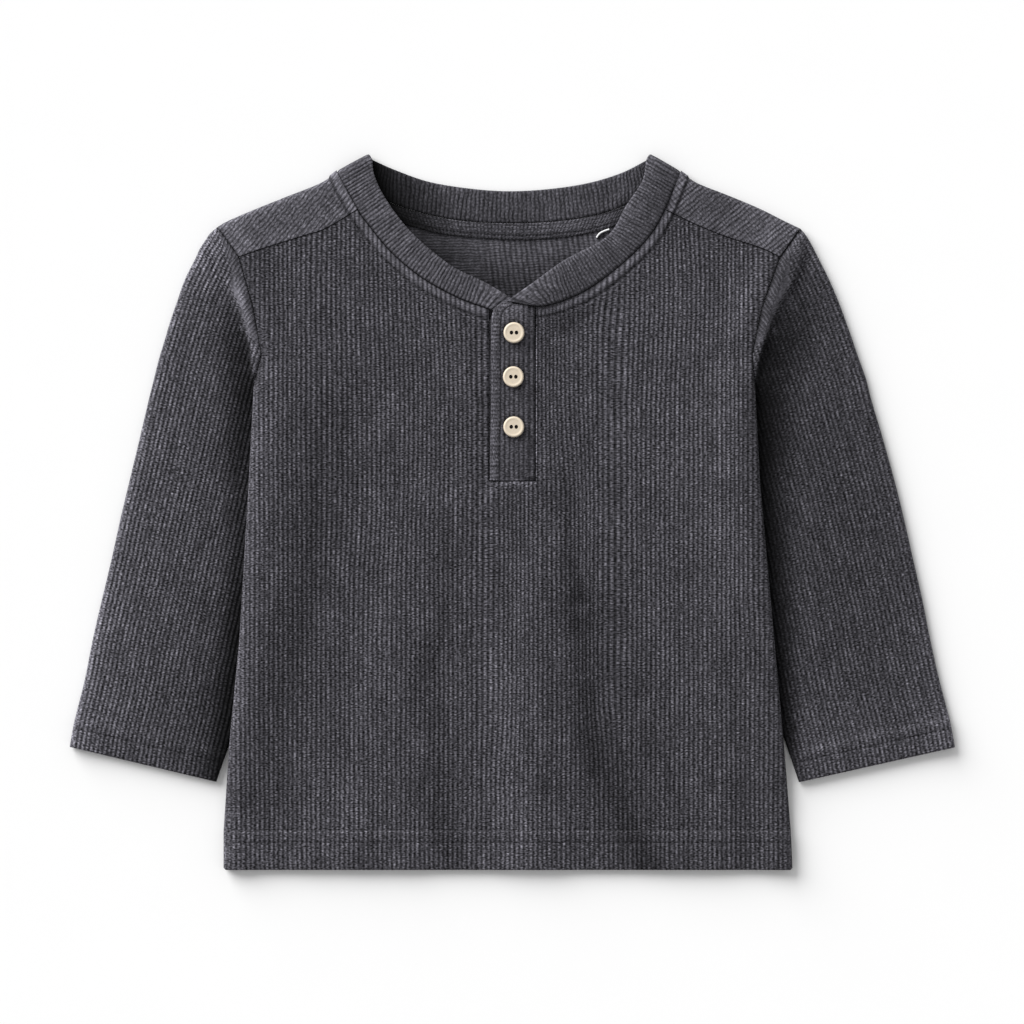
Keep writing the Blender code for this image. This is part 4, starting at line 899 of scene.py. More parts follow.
# where the soft roll by the armhole ends on the sleeve, and below it the body's own fold
ROLL_EDGE = table("y left right",
    (59.5, -124.1, 116.3), (63.4, -124.4, 116.9), (68.2, -124.9, 117.6), (74.4, -125.6, 118.9),
    (81.1, -126.6, 121), (90, -128.9, 124.3), (98.4, -131.3, 127.6), (109.4, -136.8, 134.6),
    (115.7, -139.9, 137.6), (124, -142.6, 139.6), (134, -145.5, 141),
)


def past_roll(x, y, side):
    """How far a place on the sleeve lies outside the roll, or outside the body's fold below the underarm."""
    return side * (x - np.where(y > UNDERARM_Y, read(ROLL_EDGE, y, SIDE_NAME[side]), body_edge(y, side)))


def sleeve_rise(x, y, side):
    """Height of a sleeve's upper face: two layers, fuller at the outer fold, with a soft roll by the armhole."""
    from_fold = np.maximum(FOLD_LINE[side].away(x, y) - SLEEVE_FOLD_THICK / 2, 0)
    puff = (SLEEVE_FOLD_THICK - TUCK_THICK) * np.exp(-((from_fold / FOLD_REACH) ** 2))
    fall = 2.2 + 2.8 * smooth((y - 78.0) / 30.0)
    roll = ARMHOLE_ROLL * (0.45 + 0.55 * smooth(ARMHOLE[side].away(x, y) / 3.5))
    roll = roll * smooth((0.6 * fall - past_roll(x, y, side)) / fall)
    roll = roll * smooth((y - UNDERARM_Y - 0.5) / 6.0) * (0.55 + 0.45 * smooth((136.0 - y) / 14.0))
    return TUCK_THICK + np.hypot(puff, roll) + creases(x, y, SLEEVE_CREASES[side])


FOLD_LINE = {side: Line(*SLEEVE_FOLD[side]) for side in SIDES}


def sleeve_edge(x, y, side, run):
    """Distance along and from a sewn edge: the cuff below, the armhole seam above."""
    cuff = y < -40.0
    away, along = ARMHOLE[side].near(x, y)
    away = away + 8.0 * smooth((past_roll(x, y, side) + 1.5) / 1.5)
    return np.where(cuff, FOLD_LINE[side].away(x, y), along), marked(cuff, run, away)


def sleeve_relief(x, y, side):
    """Ribs stop short of the armhole seam, where the cloth rolls over; near the shoulder they run further in."""
    reach = 5.5 * smooth((y - 105.0) / 13.0) + 6.0 * smooth((88.0 - y) / 12.0)
    return smooth((past_roll(x, y, side) + 1.2 + reach) / 2.2)


def sleeve_shade(x, y, side):
    """Painted deep shade where the sleeve goes in under the body's fold and the roll, and painted light by its outer
    fold.
    """
    out = past_roll(x, y, side)
    reach, deep, faint = (read(SLEEVE_SHADE[side], y, name) for name in ("reach", "deep", "faint"))
    fold, whole = (read(SLEEVE_LIGHT[side], y, name) for name in ("fold", "whole"))
    # how the painted shade grows up the roll, how fast the fold's painted light fades, and painted highlights on the
    # roll and by the left shoulder
    grown, fade, on_roll, by_corner = (5.0, 12.0, 1.15, 0.5) if side < 0 else (11.0, 5.0, 0.25, 0.0)
    high = smooth((y - 84.0) / 20.0)
    near = smooth((out + 1.0 + 3.0 * high) / (1.0 + grown * high))
    dark = near * (1 - smooth(out / reach) ** 1.5)
    shade = (1 - deep * dark) * (1 - faint * smooth(1 - np.maximum(out, 0) / FAINT_REACH))
    shade = shade * whole * (1 + fold * np.exp(-FOLD_LINE[side].away(x, y) / fade))
    roll = on_roll * bell((out + 2.6) / 3.6) * smooth((y - 62.0) / 8.0) * smooth((111.0 - y) / 8.0)
    roll = roll + by_corner * bell((y - 107.0) / 16.0) * bell((x + 129.5) / 8.0)
    return shade * armhole_shade(ARMHOLE[side].away(x, y), y) * (1 + roll)


def sleeve_runs(total, outer):
    """Where a sleeve's rows stand along its outer fold: closer by the cuff's edge, its stitches and the shoulder."""
    if not outer:
        return np.concatenate([[0.3, CUFF_DEPTH - 1.0, CUFF_DEPTH + 0.4], np.linspace(30, total - 12, 18),
                               total - np.array([9.0, 6.0, 4.0, 2.5, 1.4, 0.6, 0.0])])
    first, second = CUFF_STITCH
    across_stitch = np.array([-0.25, 0, 0.25])
    top = np.array([5.4, 4.8, 4.2, 3.7, 3.2, 2.8, 2.4, 2.0, 1.7, 1.4, 1.1, 0.85, 0.6, 0.4, 0.2, 0.0])
    return np.concatenate([
        [0, 0.08, 0.25, 0.6], steps(1.0, first - 0.5), first + across_stitch,
        steps(first + 0.5, second - 0.5, step=1.6), second + across_stitch, steps(second + 0.5, 180.0),
        steps(181.5, total - 26.0, step=1.4), steps(total - 25.0, total - 6.0, step=0.8), total - top])


def sleeve(name, side, material):
    """A flattened tube whose rows run square to its outer fold, so that every rib keeps its distance from the fold.

    A row goes from the fold to the underarm fold or, higher up, to the armhole seam; both faces end there. The
    outer fold is half an ellipse, the underarm fold another one that shrinks to nothing at the underarm.
    """
    wall = Wall()
    fold = FOLD_LINE[side]
    under = np.vstack([Line(*SLEEVE_UNDER[side], bent=False).path, ARMHOLE[side].path[1:]])
    under = np.vstack([under, under[-1] + 3.0 * unit(under[-1] - under[-2])])
    cuff_way = unit(np.array(SLEEVE_UNDER[side][0]) - np.array(SLEEVE_FOLD[side][0]))
    r0 = SLEEVE_FOLD_THICK / 2
    made = {}
    for outer in (True, False):
        run = sleeve_runs(fold.length, outer)
        base = fold.at(run / fold.length)
        ahead = fold.ahead(run / fold.length, 0.02)
        normal = np.stack([ahead[:, 1], -ahead[:, 0]], axis=-1) * -side
        by_cuff = smooth(1 - run / 40.0)[:, None]
        way = unit(normal * (1 - by_cuff) + cuff_way * by_cuff)
        reach = np.minimum(ray_reach(base, way, under), 120.0)
        tip_y = (base + reach[:, None] * way)[:, 1]
        in_tube = tip_y < UNDERARM_Y - 0.4
        r1 = np.where(in_tube, 1.4 * smooth((UNDERARM_Y - tip_y) / 12.0), 0.0)
        last = np.maximum(reach - r1 - np.where(in_tube, 0.0, SEAM_GAP / 2), r0 * 0.2)
        edge0 = np.minimum(r0, last * 0.5)
        cuff = HEM_FOLD * smooth((CUFF_DEPTH - run) / 1.0)
        thick = CLOTH + cuff
        sunk = thick * (1 - edge_round(run)) if outer else thick
        every, tube = np.arange(len(run)), np.flatnonzero(in_tube)

        def level(x, y, rows, upper):
            """The height of the upper or the lower face at places in these rows."""
            if upper:
                return sleeve_rise(x, y, side) + 2 * cuff[rows, None] - sunk[rows, None]
            return (sunk * (0.6 if outer else 1.0))[rows, None] + 0 * x

        def points(x, y, z, u, rows, relief, upper):
            v = run[rows, None] + 0 * x
            if not upper:
                return wall.skin(wall.add(x, y, z, (u, v), None, relief))
            return wall.skin(wall.add(x, y, z, (u, v), sleeve_edge(x, y, side, v), relief, sleeve_shade(x, y, side)))

        def face(upper):
            """A whole face, with raised ribs and stitches on the one that shows."""
            fine = outer and upper
            pitch = SLEEVE_PITCH / 4 if fine else SLEEVE_PITCH * 2
            u = np.concatenate([[r0], np.arange(np.ceil(r0 / pitch + 0.3), 110.0 / pitch) * pitch])[None, :]
            u = np.where(u > last[:, None] - pitch * 0.5, last[:, None], np.maximum(u, edge0[:, None]))
            u[:, 0] = edge0
            x, y = np.moveaxis(base[:, None, :] + u[..., None] * way[:, None, :], -1, 0)
            relief = sleeve_relief(x, y, side)
            z = level(x, y, every, upper)
            if fine:
                stitch = sum(bell((run[:, None] - c) / STITCH_HALF) for c in CUFF_STITCH)
                fade = smooth(np.minimum(u - edge0[:, None], last[:, None] - u) / 0.9)
                z = z + (RIB_RAISE * rib(u, SLEEVE_PITCH) * relief - STITCH_DENT * stitch) * fade
            return points(x, y, z, u, every, relief, upper)

        def turn(at, radius, sign, rows):
            """Half an ellipse from the upper face to the lower one, away from the tube's middle."""
            p0 = (base[rows] + at[rows, None] * way[rows])[:, None, :]
            z1, z0 = (level(p0[..., 0], p0[..., 1], rows, upper) for upper in (True, False))
            a = np.pi * np.linspace(0, 1, 13 if outer else 5)[None, :]
            wide = radius[rows] if outer else np.maximum(radius[rows] - thick[rows], 0.1 * radius[rows])
            x, y = np.moveaxis(p0 + (sign * wide[:, None] * np.sin(a))[..., None] * way[rows][:, None, :], -1, 0)
            z = (z1 + z0) / 2 + (z1 - z0) / 2 * np.cos(a)
            u = at[rows, None] + sign * a * radius[rows, None]
            return points(x, y, z, u, rows, sleeve_relief(x, y, side) * 0.7, True)

        top, low = face(True), face(False)
        outside, inside = turn(edge0, edge0, -1, every), turn(last, r1, 1, tube)
        ring = [top[0], inside[0], low[0][::-1], outside[0][::-1]]
        marks = [np.linspace(k, k + 1, len(part)) for k, part in enumerate(ring)]
        rows = np.arange(tube[-1], len(run))
        up, down = (run[rows] - run[rows[0]]) / 100.0, (run[rows[-1]] - run[rows][::-1]) / 100.0
        made[outer] = {
            "cuff": (np.concatenate(ring), np.concatenate(marks)),
            "end": (np.concatenate([inside[-1][::-1], top[rows, -1], outside[-1], low[rows, -1][::-1]]),
                    np.concatenate([np.linspace(0, 1, inside.shape[1]), 1 + up,
                                    3 + np.linspace(0, 1, outside.shape[1]), 5 + down])),
        }
    wall.join(made[True], made[False])
    return wall.build(name, material)


# ---------------------------------------------------------------- neckband

def neckband(material):
    """One doubled strip from the placket up the left side, over both shoulders and down to the placket.

    Its section is a low crown that dips at the seam, with half a circle round the free edge; along it the points
    follow the seam and the free edge side by side, and turn half a circle over each shoulder.
    """
    radius, half = BAND_FOLD_THICK / 2, BAND_THICK / 2
    parts, length, fine = [], 0.0, 5

    def add(seam_points, free_points, height, up, sideways, run):
        """Points of the seam and the free edge, the height of the section's middle, and which way its face looks."""
        nonlocal length
        n = len(seam_points)
        way = np.column_stack([np.broadcast_to(sideways, (n, 2)), np.broadcast_to(up, n)])
        parts.append((seam_points, free_points, np.broadcast_to(height, n), way,
                      length + np.linspace(0, run, n, endpoint=False)))
        length += run

    def ribbed(*lines):
        """How many ribs fit on the mean of the lines, and the shares of the way at which points stand."""
        ribs = round(sum(line.length for line in lines) / 2 / BAND_PITCH)
        return ribs, np.linspace(0, 1, ribs * fine + 1)

    tips = {}
    for side in SIDES:
        s0, f0 = NECK_SEAM[side].at(0.0), NECK_FREE[side].at(0.0)
        across = unit(f0 - s0)
        normal = np.array([-across[1], across[0]]) * -side
        tips[side] = (s0, f0, normal if normal[1] > 0 else -normal, unit(s0 - SHOULDER_SEAM[side].at(1.0)))

    def front_part(side, order):
        ribs, t = ribbed(NECK_SEAM[side], NECK_FREE[side])
        normal, along_seam = tips[side][2:]
        fade = smooth(1 - t / 0.25)[:, None]
        s = NECK_SEAM[side].moved(t, -side * (SEAM_GAP / 2 - 0.45 * smooth(1 - t / 0.1))) - radius * along_seam * fade
        f = NECK_FREE[side].at(read(FRONT_RIBS[side], t, "free")) - radius * normal * fade
        z = read(BAND_RISE, t, SIDE_NAME[side]) + half
        add(s[::order], f[::order], z[::order], 1.0, (0.0, 0.0), ribs * BAND_PITCH)

    def turn_part(side, order):
        a = (np.pi / 2 - np.pi * np.arange(1, 24) / 24)[::order]
        s0, f0, normal, along_seam = tips[side]
        swing = (radius - half) * np.cos(a)[:, None] - radius
        add(s0 - SEAM_GAP * unit(f0 - s0) + swing * along_seam, f0 + swing * normal,
            radius + (radius - half) * np.sin(a), np.sin(a), np.cos(a)[:, None] * normal, BAND_PITCH * 4)

    front_part(-1, -1)
    turn_part(-1, 1)
    ribs, t = ribbed(BACK_NECK_SEAM, BACK_FREE)
    add(BACK_NECK_SEAM.moved(t, np.full(len(t), SEAM_GAP / 2)), BACK_FREE.at(read(BACK_RIBS, t, "free")), half, -1.0,
        (0.0, 0.0), ribs * BAND_PITCH)
    turn_part(1, -1)
    front_part(1, 1)
    seam, free, middle, way, mark = (np.concatenate(part) for part in zip(*parts))

    across = free - seam
    width = np.linalg.norm(across, axis=1)[:, None]
    raised = rib(mark, BAND_PITCH)[:, None] * BAND_RIB_RAISE
    outward = np.clip(way[:, 2:] + 1, 0, 1)            # 1 where the outer face shows, 0 where the inner one does
    flat = np.array([1.0, 0.97, 0.93, 0.87, 0.76, 0.64, 0.52, 0.4, 0.28, 0.18, 0.08])[None, :]
    crown = np.array([0.4, 0.75, 0.92, 1.0, 1.04, 1.06, 1.05, 1.02, 1.0, 0.98, 0.99])[None, :]
    a = np.radians(np.linspace(90, -90, 13))[None, :]

    def face(shown):
        """How far in from the free edge a face's points lie, and their height over the section's middle."""
        level = half * np.where(shown > 0, 1 + (crown - 1) * np.where(crown < 1, 1, shown), np.minimum(crown, 1))
        inside = half + flat * (width - half)
        return inside, level + raised * shown * smooth((1 - flat) / 0.06) * (0.2 + 0.8 * smooth((inside - 1.0) / 3.0))

    inside, level = face(outward)
    inside_under, level_under = face(1 - outward)
    shown = np.where(a > 0, 1 + (outward - 1) * np.abs(np.sin(a)), 1 - outward * np.abs(np.sin(a)))
    round_edge = half + 0.2 * raised * shown
    inside = np.hstack([inside, half - round_edge * np.cos(a), inside_under[:, ::-1]])
    level = np.hstack([level, round_edge * np.sin(a), -level_under[:, ::-1]])
    share = 1 - inside / width
    p = seam[:, None, :] + share[..., None] * across[:, None, :] + level[..., None] * way[:, None, :2]
    x, y = np.moveaxis(p, -1, 0)
    z = middle[:, None] + level * way[:, None, 2]
    in_back, in_front = np.clip(-way[:, 2:], 0, 1), np.clip(way[:, 2:], 0, 1)
    # painted light on the left band and at the right one's free edge, painted shade at the right one's seam, painted
    # seam shade, the opening's painted shadow on the back part, and a painted highlight at the right end
    tone = np.where(x < 0, 1.12, 0.76 + 0.3 * smooth((share - 0.35) / 0.5))
    shade = 1 - (1 - seam_shade(width - inside, x)) * (1 - 0.75 * in_back)
    shade = shade * (1 + (0.78 * opening_shade(x, y) - 1) * in_back) * (1 + (tone - 1) * in_front)
    shade = shade * (1 + 0.4 * bell((x - 7.0) / 9.0) * bell((y - 111.0) / 8.0))
    place = (mark[:, None], width - inside)
    wall = Wall()
    wall.tube(wall.add(x, y, z, place, place, 1.0, shade))
    return wall.build("neckband_knit", material)


# ---------------------------------------------------------------- tape, placket, label

def pad(wall, x, y, low, high, knit, edge=None, relief=1.0, rim=0.35, shade=1.0):
    """A flat strip of cloth: a grid whose height falls along a quarter circle at its rim, over a plain underside.

    x and y are whole grids; rim is how far the rounding reaches, in millimetres, measured along the grid.
    """
    def inset(axis):
        """Distance along the grid from the nearer of its two ends."""
        run = np.hypot(np.diff(x, axis=axis), np.diff(y, axis=axis)).cumsum(axis=axis)
        run = np.concatenate([np.zeros_like(np.take(run, [0], axis=axis)), run], axis=axis)
        return np.minimum(run, np.take(run, [-1], axis=axis) - run)

    fall = quarter_round(np.minimum(inset(0), inset(1)) / rim)
    top = wall.skin(wall.add(x, y, low + (high - low) * (0.35 + 0.65 * fall), knit, edge, relief, shade))
    kept = [np.unique(np.linspace(0, n - 1, max(n // 6, 2)).round().astype(int)) for n in x.shape]
    pick = np.ix_(*kept)
    base = wall.skin(wall.add(x[pick], y[pick], (low + 0 * x)[pick], (knit[0][pick], knit[1][pick])))
    for upper, under, axis in ((top, base, 1), (top.T, base.T, 0)):
        for end in (0, -1):
            wall.strip(upper[end], under[end], np.arange(x.shape[axis]), kept[axis])


def rimmed(n, long, rim=0.35):
    """Shares from 0 to 1, evenly spaced, with closer ones near both ends for a rounded rim."""
    near = np.array([0.0, 0.04, 0.15, 0.4, 0.7, 1.0]) * rim / long
    return np.concatenate([near, np.linspace(near[-1], 1 - near[-1], n)[1:-1], (1 - near)[::-1]])


def neck_tape(material):
    """A narrow strip over the back neck seam, between two lines side by side."""
    t, w = rimmed(180, 115.0), rimmed(14, 9.5)
    upper = BACK_NECK_SEAM.moved(TAPE_ENDS[0] + t * (TAPE_ENDS[1] - TAPE_ENDS[0]), np.full(len(t), -SEAM_GAP / 4))
    lower = TAPE_LOWER.at(t)
    x, y = np.moveaxis(lower[None, :, :] + w[:, None, None] * (upper - lower)[None, :, :], -1, 0)
    width = np.linalg.norm(upper - lower, axis=1)[None, :]
    from_lower = w[:, None] * width
    floor = CLOTH + LAYER_GAP + 0 * x
    high = floor + TAPE_THICK + 0.12 * bell(from_lower * 2 / width - 1) - 0.2 * bell((from_lower - 1.6) / 0.5)
    place = (t[None, :] * 120.0 + 0 * x, from_lower)
    wall = Wall()
    # the tape carries the neck opening's painted shadow
    pad(wall, x, y, floor, high, place, place, shade=opening_shade(x, y))
    return wall.build("neck_tape_cloth", material)


PLACKET = table("left_x left_y right_x right_y",
    (-10.9, 15.2, 10.6, 15.2), (-10.6, 35, 10.6, 35), (-10.2, 55, 10.5, 55), (-10.2, 72, 10.4, 72),
    (-10.3, 84, 10.5, 84), (-10.1, 92, 10.6, 91.5), (-9.2, 96.6, 10.7, 95.5), (-6.8, 99.3, 10.8, 97.4),
    (-3.6, 100.6, 11, 98.3),
)
PLACKET_TOP_RISE = 1.1
UNDER_TOP_Y = 93.6              # where the under placket ends on its left; on its right it ends a millimetre lower
PLACKET_FOLD = 4.6              # width of the folded strip along the placket's free edge
FOLDED_PITCH = 1.9              # of its ribs, which run across it
BOX_STITCH = (15.6, 21.4)
BUTTON_SPOTS = {"button_top": (0.7, 85.9), "button_middle": (0.4, 64.8), "button_bottom": (0.6, 40.8)}


def placket_floor(x, y):
    """Underside of the upper placket: on the under placket, then up over the neckband's left end."""
    return 2 * LAYER_GAP + CLOTH + PLACKET_THICK + PLACKET_TOP_RISE * smooth((y - 70.0) / 20.0) + 0 * x


def from_buttons(x, y):
    """Distance from the middle of each button."""
    return [np.hypot(x - bx, y - by) for bx, by in BUTTON_SPOTS.values()]


def placket_upper(material):
    """A strip with a folded free edge on the left and a thin stitched one on the right, drawn in at the buttons."""
    left = Line(*zip(PLACKET["left_x"], PLACKET["left_y"]))
    right = Line(*zip(PLACKET["right_x"], PLACKET["right_y"]), bent=False)
    t, w = rimmed(70, 86.0, 0.5), rimmed(76, 21.5, 0.5)
    a, b = left.at(t), right.at(t)
    x, y = np.moveaxis(a[:, None, :] + w[None, :, None] * (b - a)[:, None, :], -1, 0)
    from_left, from_right = w[None, :] * np.linalg.norm(b - a, axis=1)[:, None], b[:, None, 0] - x
    folded = smooth((PLACKET_FOLD + 0.3 - from_left) / 0.6)
    lines = np.clip(bell((from_left - PLACKET_FOLD) / 0.7) + bell((from_right - 1.4) / 0.6)
                    + sum(bell((y - s) / 0.6) for s in BOX_STITCH), 0, 1)
    away = from_buttons(x, y)
    ribs = rib(x, RIB_PITCH) * (1 - folded) + rib(y, FOLDED_PITCH) * folded * 0.8
    sewn = 2.0 * smooth((x - 3.6) / 6.6) + 0.9 * smooth((20.0 - y) / 5.0) * smooth((x + 10.0) / 8.0)
    low = placket_floor(x, y)
    high = low - sewn + PLACKET_THICK + 0.24 * ribs * (1 - 0.7 * lines) + 0.22 * folded - 0.28 * lines
    high = high + sum(0.1 * np.exp(-(((d - 6.5) / 2.2) ** 2)) - 0.28 * np.exp(-((d / 5.6) ** 4)) for d in away)
    # painted highlights on the placket's rounded top, folded strip, sewn side and edge, foot and beside the lowest
    # button, and darker at the box's upper stitches
    light = (1 + 0.6 * smooth((x + 9.0) / 5.0) * smooth((y - 90.0) / 5.0)               # the rounded top
             + 0.55 * bell((x + 9.2) / 1.9)                                             # the folded strip
             - 0.35 * bell((y - BOX_STITCH[1]) / 1.1) * smooth((9.0 - x) / 2.0)         # the box's upper stitches
             + 0.4 * smooth((x - 4.5) / 3.0) + 1.3 * bell((x - 10.5) / 1.3)             # the sewn side and its edge
             + 0.9 * bell((y - 15.3) / 1.2)                                             # the foot
             + 0.25 * bell((x - 7.4) / 4.0) * bell((y - 46.0) / 20.0))                  # beside the lowest button
    # a painted shadow ring round each button
    light = light * (1 - 0.4 * sum(bell((d - 5.5) / 1.4) for d in away))
    knit = (np.where(folded > 0.5, y * RIB_PITCH / FOLDED_PITCH, x), np.where(folded > 0.5, x, y))
    wall = Wall()
    pad(wall, x, y, low, high, knit, (y, from_right), 0.62, rim=0.55, shade=light)
    return wall.build("placket_upper_knit", material)


def placket_under(material):
    """The plain strip beneath, in the slit."""
    left, right, foot = SLIT_LEFT + SEAM_GAP, SLIT_RIGHT - SEAM_GAP, SLIT_BOTTOM + SEAM_GAP
    t, w = rimmed(30, 78.0), rimmed(20, 22.0)
    x = (left + w * (right - left))[None, :] + 0 * t[:, None]
    y = foot + t[:, None] * (UNDER_TOP_Y - w - foot)[None, :]
    floor = CLOTH + LAYER_GAP + 0 * x
    wall = Wall()
    pad(wall, x, y, floor, floor + PLACKET_THICK, (x, y))
    return wall.build("placket_under_knit", material)


def size_label(material):
    """A blank folded label on its edge: a narrow loop carried along a short bent line, rounded over its top."""
    spine = through([(40.3, 131.6), (41.7, 133.5), (43.8, 134.7), (46.4, 135.6)], 10)
    ahead = unit(np.gradient(spine, axis=0))
    side = np.stack([-ahead[:, 1], ahead[:, 0]], axis=-1)
    a = np.radians(np.linspace(0, 180, 9))
    across = LABEL_HALF * np.concatenate([[1, 1], np.cos(a), [-1, -1]])
    rise = np.concatenate([[0.0, 0.6], 1.2 + LABEL_HALF * np.sin(a), [0.6, 0.0]])[None, :]
    x, y = np.moveaxis(spine[:, None, :] + across[None, :, None] * side[:, None, :], -1, 0)
    wall = Wall()
    wall.tube(wall.add(x, y, CLOTH + LAYER_GAP + rise, (np.linspace(0, 4, len(spine))[:, None], rise)))
    return wall.build("size_label_satin", material, sharp=1.0)


# ---------------------------------------------------------------- buttons

BUTTON_PROFILE = (
    (0, 0), (3.6, 0), (4.2, 0.12), (4.7, 0.5), (4.93, 0.85), (5, 1.15), (4.95, 1.5), (4.8, 1.82), (4.58, 2.08),
    (4.35, 2.18), (4.1, 2.18), (3.85, 2.14), (3.6, 2.07), (3.3, 2.02), (2.8, 2), (0, 1.99),
)
HOLE_FROM_MIDDLE, HOLE_RADII = 1.2, (0.86, 0.98)


def lathe(wall, x, y, r, z, count, stretch=(1.0, 1.0), knit=None):
    """A skin turned about an upright line at x, y: a ring of count points for each radius and height."""
    a = np.linspace(0, 2 * np.pi, count)[None, :]
    across, up = r * stretch[0] * np.cos(a), r * stretch[1] * np.sin(a)
    wall.skin(wall.add(x + across, y + up, z + 0 * a, (across, up) if knit is None else knit))


def button(name, material, thread):
    """A turned two-hole button: a profile turned about its middle, with two drilled holes and the thread in them."""
    x, y = BUTTON_SPOTS[name]
    floor = float(placket_floor(x, y)) + PLACKET_THICK + 0.24 + LAYER_GAP
    profile = np.vstack([BUTTON_PROFILE[0], through(BUTTON_PROFILE[1:-1], 2), BUTTON_PROFILE[-1]])
    wall = Wall()
    lathe(wall, x, y, profile[:, :1], floor + profile[:, 1:], 65)
    made = wall.build(name + "_resin", material)
    drills = []
    for sign in (-1, 1):
        drill = Wall()
        r, z = np.array([0.0, 1.0, 1.0, 0.0])[:, None], np.array([-2.0, -2.0, 5.0, 5.0])[:, None]
        lathe(drill, x + sign * HOLE_FROM_MIDDLE, y, r, floor + z, 25, HOLE_RADII, (0, 0))
        drills.append(drill.build(f"{name}_drill_{sign}", material))
        cut = made.modifiers.new("hole", "BOOLEAN")
        cut.operation, cut.object, cut.solver = "DIFFERENCE", drills[-1], "EXACT"
    shaped = bpy.data.meshes.new_from_object(made.evaluated_get(bpy.context.evaluated_depsgraph_get()))
    made.modifiers.clear()
    made.data = shaped
    shaped.set_sharp_from_angle(angle=0.9)
    for drill in drills:
        bpy.data.objects.remove(drill)
    strands = Wall()
    t = np.linspace(0, 1, 9)[:, None]
    r = 0.52 * np.sqrt(np.clip(1 - (2 * t - 1) ** 6, 0, 1))
    for sign in (-1, 1):
        around = (np.linspace(0, 2 * np.pi, 13)[None, :], t * 1.3)
        lathe(strands, x + sign * HOLE_FROM_MIDDLE, y, r, floor - 0.2 + 1.35 * t, 13, knit=around)
    return made, strands.build(name + "_thread", thread)


# ---------------------------------------------------------------- finishes

class Finish:
    """A material and small helpers that wire its nodes; every helper takes numbers or sockets."""

    def __init__(self, name, roughness, sheen=0.0, gloss=0.5):
        self.material = bpy.data.materials.new(name)
        self.material.use_nodes = True
        self.tree = self.material.node_tree
        self.shader = self.tree.nodes["Principled BSDF"]
        for socket, value in (("Roughness", roughness), ("Sheen Weight", sheen), ("Sheen Roughness", 0.5),
                              ("Specular IOR Level", gloss)):
            self.shader.inputs[socket].default_value = value

    def node(self, kind, inputs=(), **settings):
        n = self.tree.nodes.new(kind)
        for key, value in settings.items():
            setattr(n, key, value)
        for key, value in dict(inputs).items():
            self.give(n.inputs[key], value)
        return n

    def give(self, socket, value):
        if isinstance(value, bpy.types.NodeSocket):
            self.tree.links.new(value, socket)
        else:
            socket.default_value = value

    def math(self, operation, *values):
        return self.node("ShaderNodeMath", enumerate(values), operation=operation).outputs[0]

    def add(self, a, b):
        return self.math("ADD", a, b)

    def minus(self, a, b):
        return self.math("SUBTRACT", a, b)

    def times(self, a, b):
        return self.math("MULTIPLY", a, b)

    def over(self, a, b):
        return self.math("DIVIDE", a, b)

    def scaled(self, value, gain, base):
        """value times gain, and base more."""
        return self.math("MULTIPLY_ADD", value, gain, base)

    def step(self, value, low, high):
        """Smoothly from 0 at low to 1 at high."""
        return self.node("ShaderNodeMapRange", {"Value": value, "From Min": low, "From Max": high},
                         interpolation_type="SMOOTHSTEP").outputs["Result"]

    def blend(self, a, b, share):
        """a where share is 0 and b where it is 1."""
        return self.scaled(self.minus(b, a), share, a)

    def wave(self, value, period):
        """A cosine of value with that period."""
        return self.math("COSINE", self.times(value, 2 * np.pi / period))

    def uv(self, layer):
        parts = self.node("ShaderNodeSeparateXYZ", {0: self.node("ShaderNodeUVMap", uv_map=layer).outputs["UV"]})
        return parts.outputs[0], parts.outputs[1]

    def attribute(self, layer):
        return self.node("ShaderNodeAttribute", attribute_name=layer).outputs["Fac"]

    def vector(self, x, y, z=0.0):
        return self.node("ShaderNodeCombineXYZ", {0: x, 1: y, 2: z}).outputs[0]

    def place(self):
        return self.node("ShaderNodeTexCoord").outputs["Object"]

    def place_part(self, axis):
        return self.node("ShaderNodeSeparateXYZ", {0: self.place()}).outputs[axis]

    def noise(self, vector, scale, detail=2.0):
        settings = {"Vector": vector, "Scale": scale, "Detail": detail, "Roughness": 0.5}
        return self.node("ShaderNodeTexNoise", settings).outputs["Fac"]

    def mottle(self, u, v, across, along, seed=0.0, detail=1.0):
        """Soft noise on the cloth, with so many swings a millimetre along u and along v."""
        return self.noise(self.vector(self.times(u, across), self.times(v, along), seed), 1.0, detail)

    def spread(self, noise, gain):
        """A factor about 1: gain raised to a noise less its average of a half."""
        return self.math("POWER", gain, self.minus(noise, 0.5))

    def chance(self, vector):
        return self.node("ShaderNodeTexWhiteNoise", {"Vector": vector}, noise_dimensions="3D").outputs["Value"]

    def line(self, value, at, half):
        """1 on the line where value is at, 0 beyond half on either side."""
        return self.step(self.math("ABSOLUTE", self.minus(value, at)), half, half * 0.35)

    def colour(self, value, tint):
        parts = {k: self.times(value, part) for k, part in enumerate(tint)}
        return self.node("ShaderNodeCombineColor", parts).outputs[0]

    def finish(self, colour, height=None, depth=0.0003):
        self.give(self.shader.inputs["Base Color"], colour)
        if height is not None:
            bump = self.node("ShaderNodeBump", {"Height": height, "Distance": depth, "Strength": 1.0})
            self.give(self.shader.inputs["Normal"], bump.outputs["Normal"])
        return self.material

    def cloth(self, value, height, depth=0.0003):
        """Charcoal of that value, times the painted shade and painted light stored on the cloth's own points."""
        return self.finish(self.colour(self.times(value, self.attribute("shade")), CHARCOAL), height, depth)


NAPPED = (0.95, 0.02, 0.12)         # roughness, sheen and gloss of brushed cotton
CHARCOAL = (1.0, 0.97, 1.12)        # a grey with a little blue and violet
CREAM = (0.7, 0.605, 0.475)
FLECK = 3.0                         # how much the yarn's flecks differ
# painted shade darkens the grooves: GROOVE is how light the cloth is between its ribs, CREST on them
GROOVE, CREST = 0.0338, 0.0785      # how light the cloth is between its ribs and on them
COURSE = 1.76                       # length of the beads that a rib is parted into


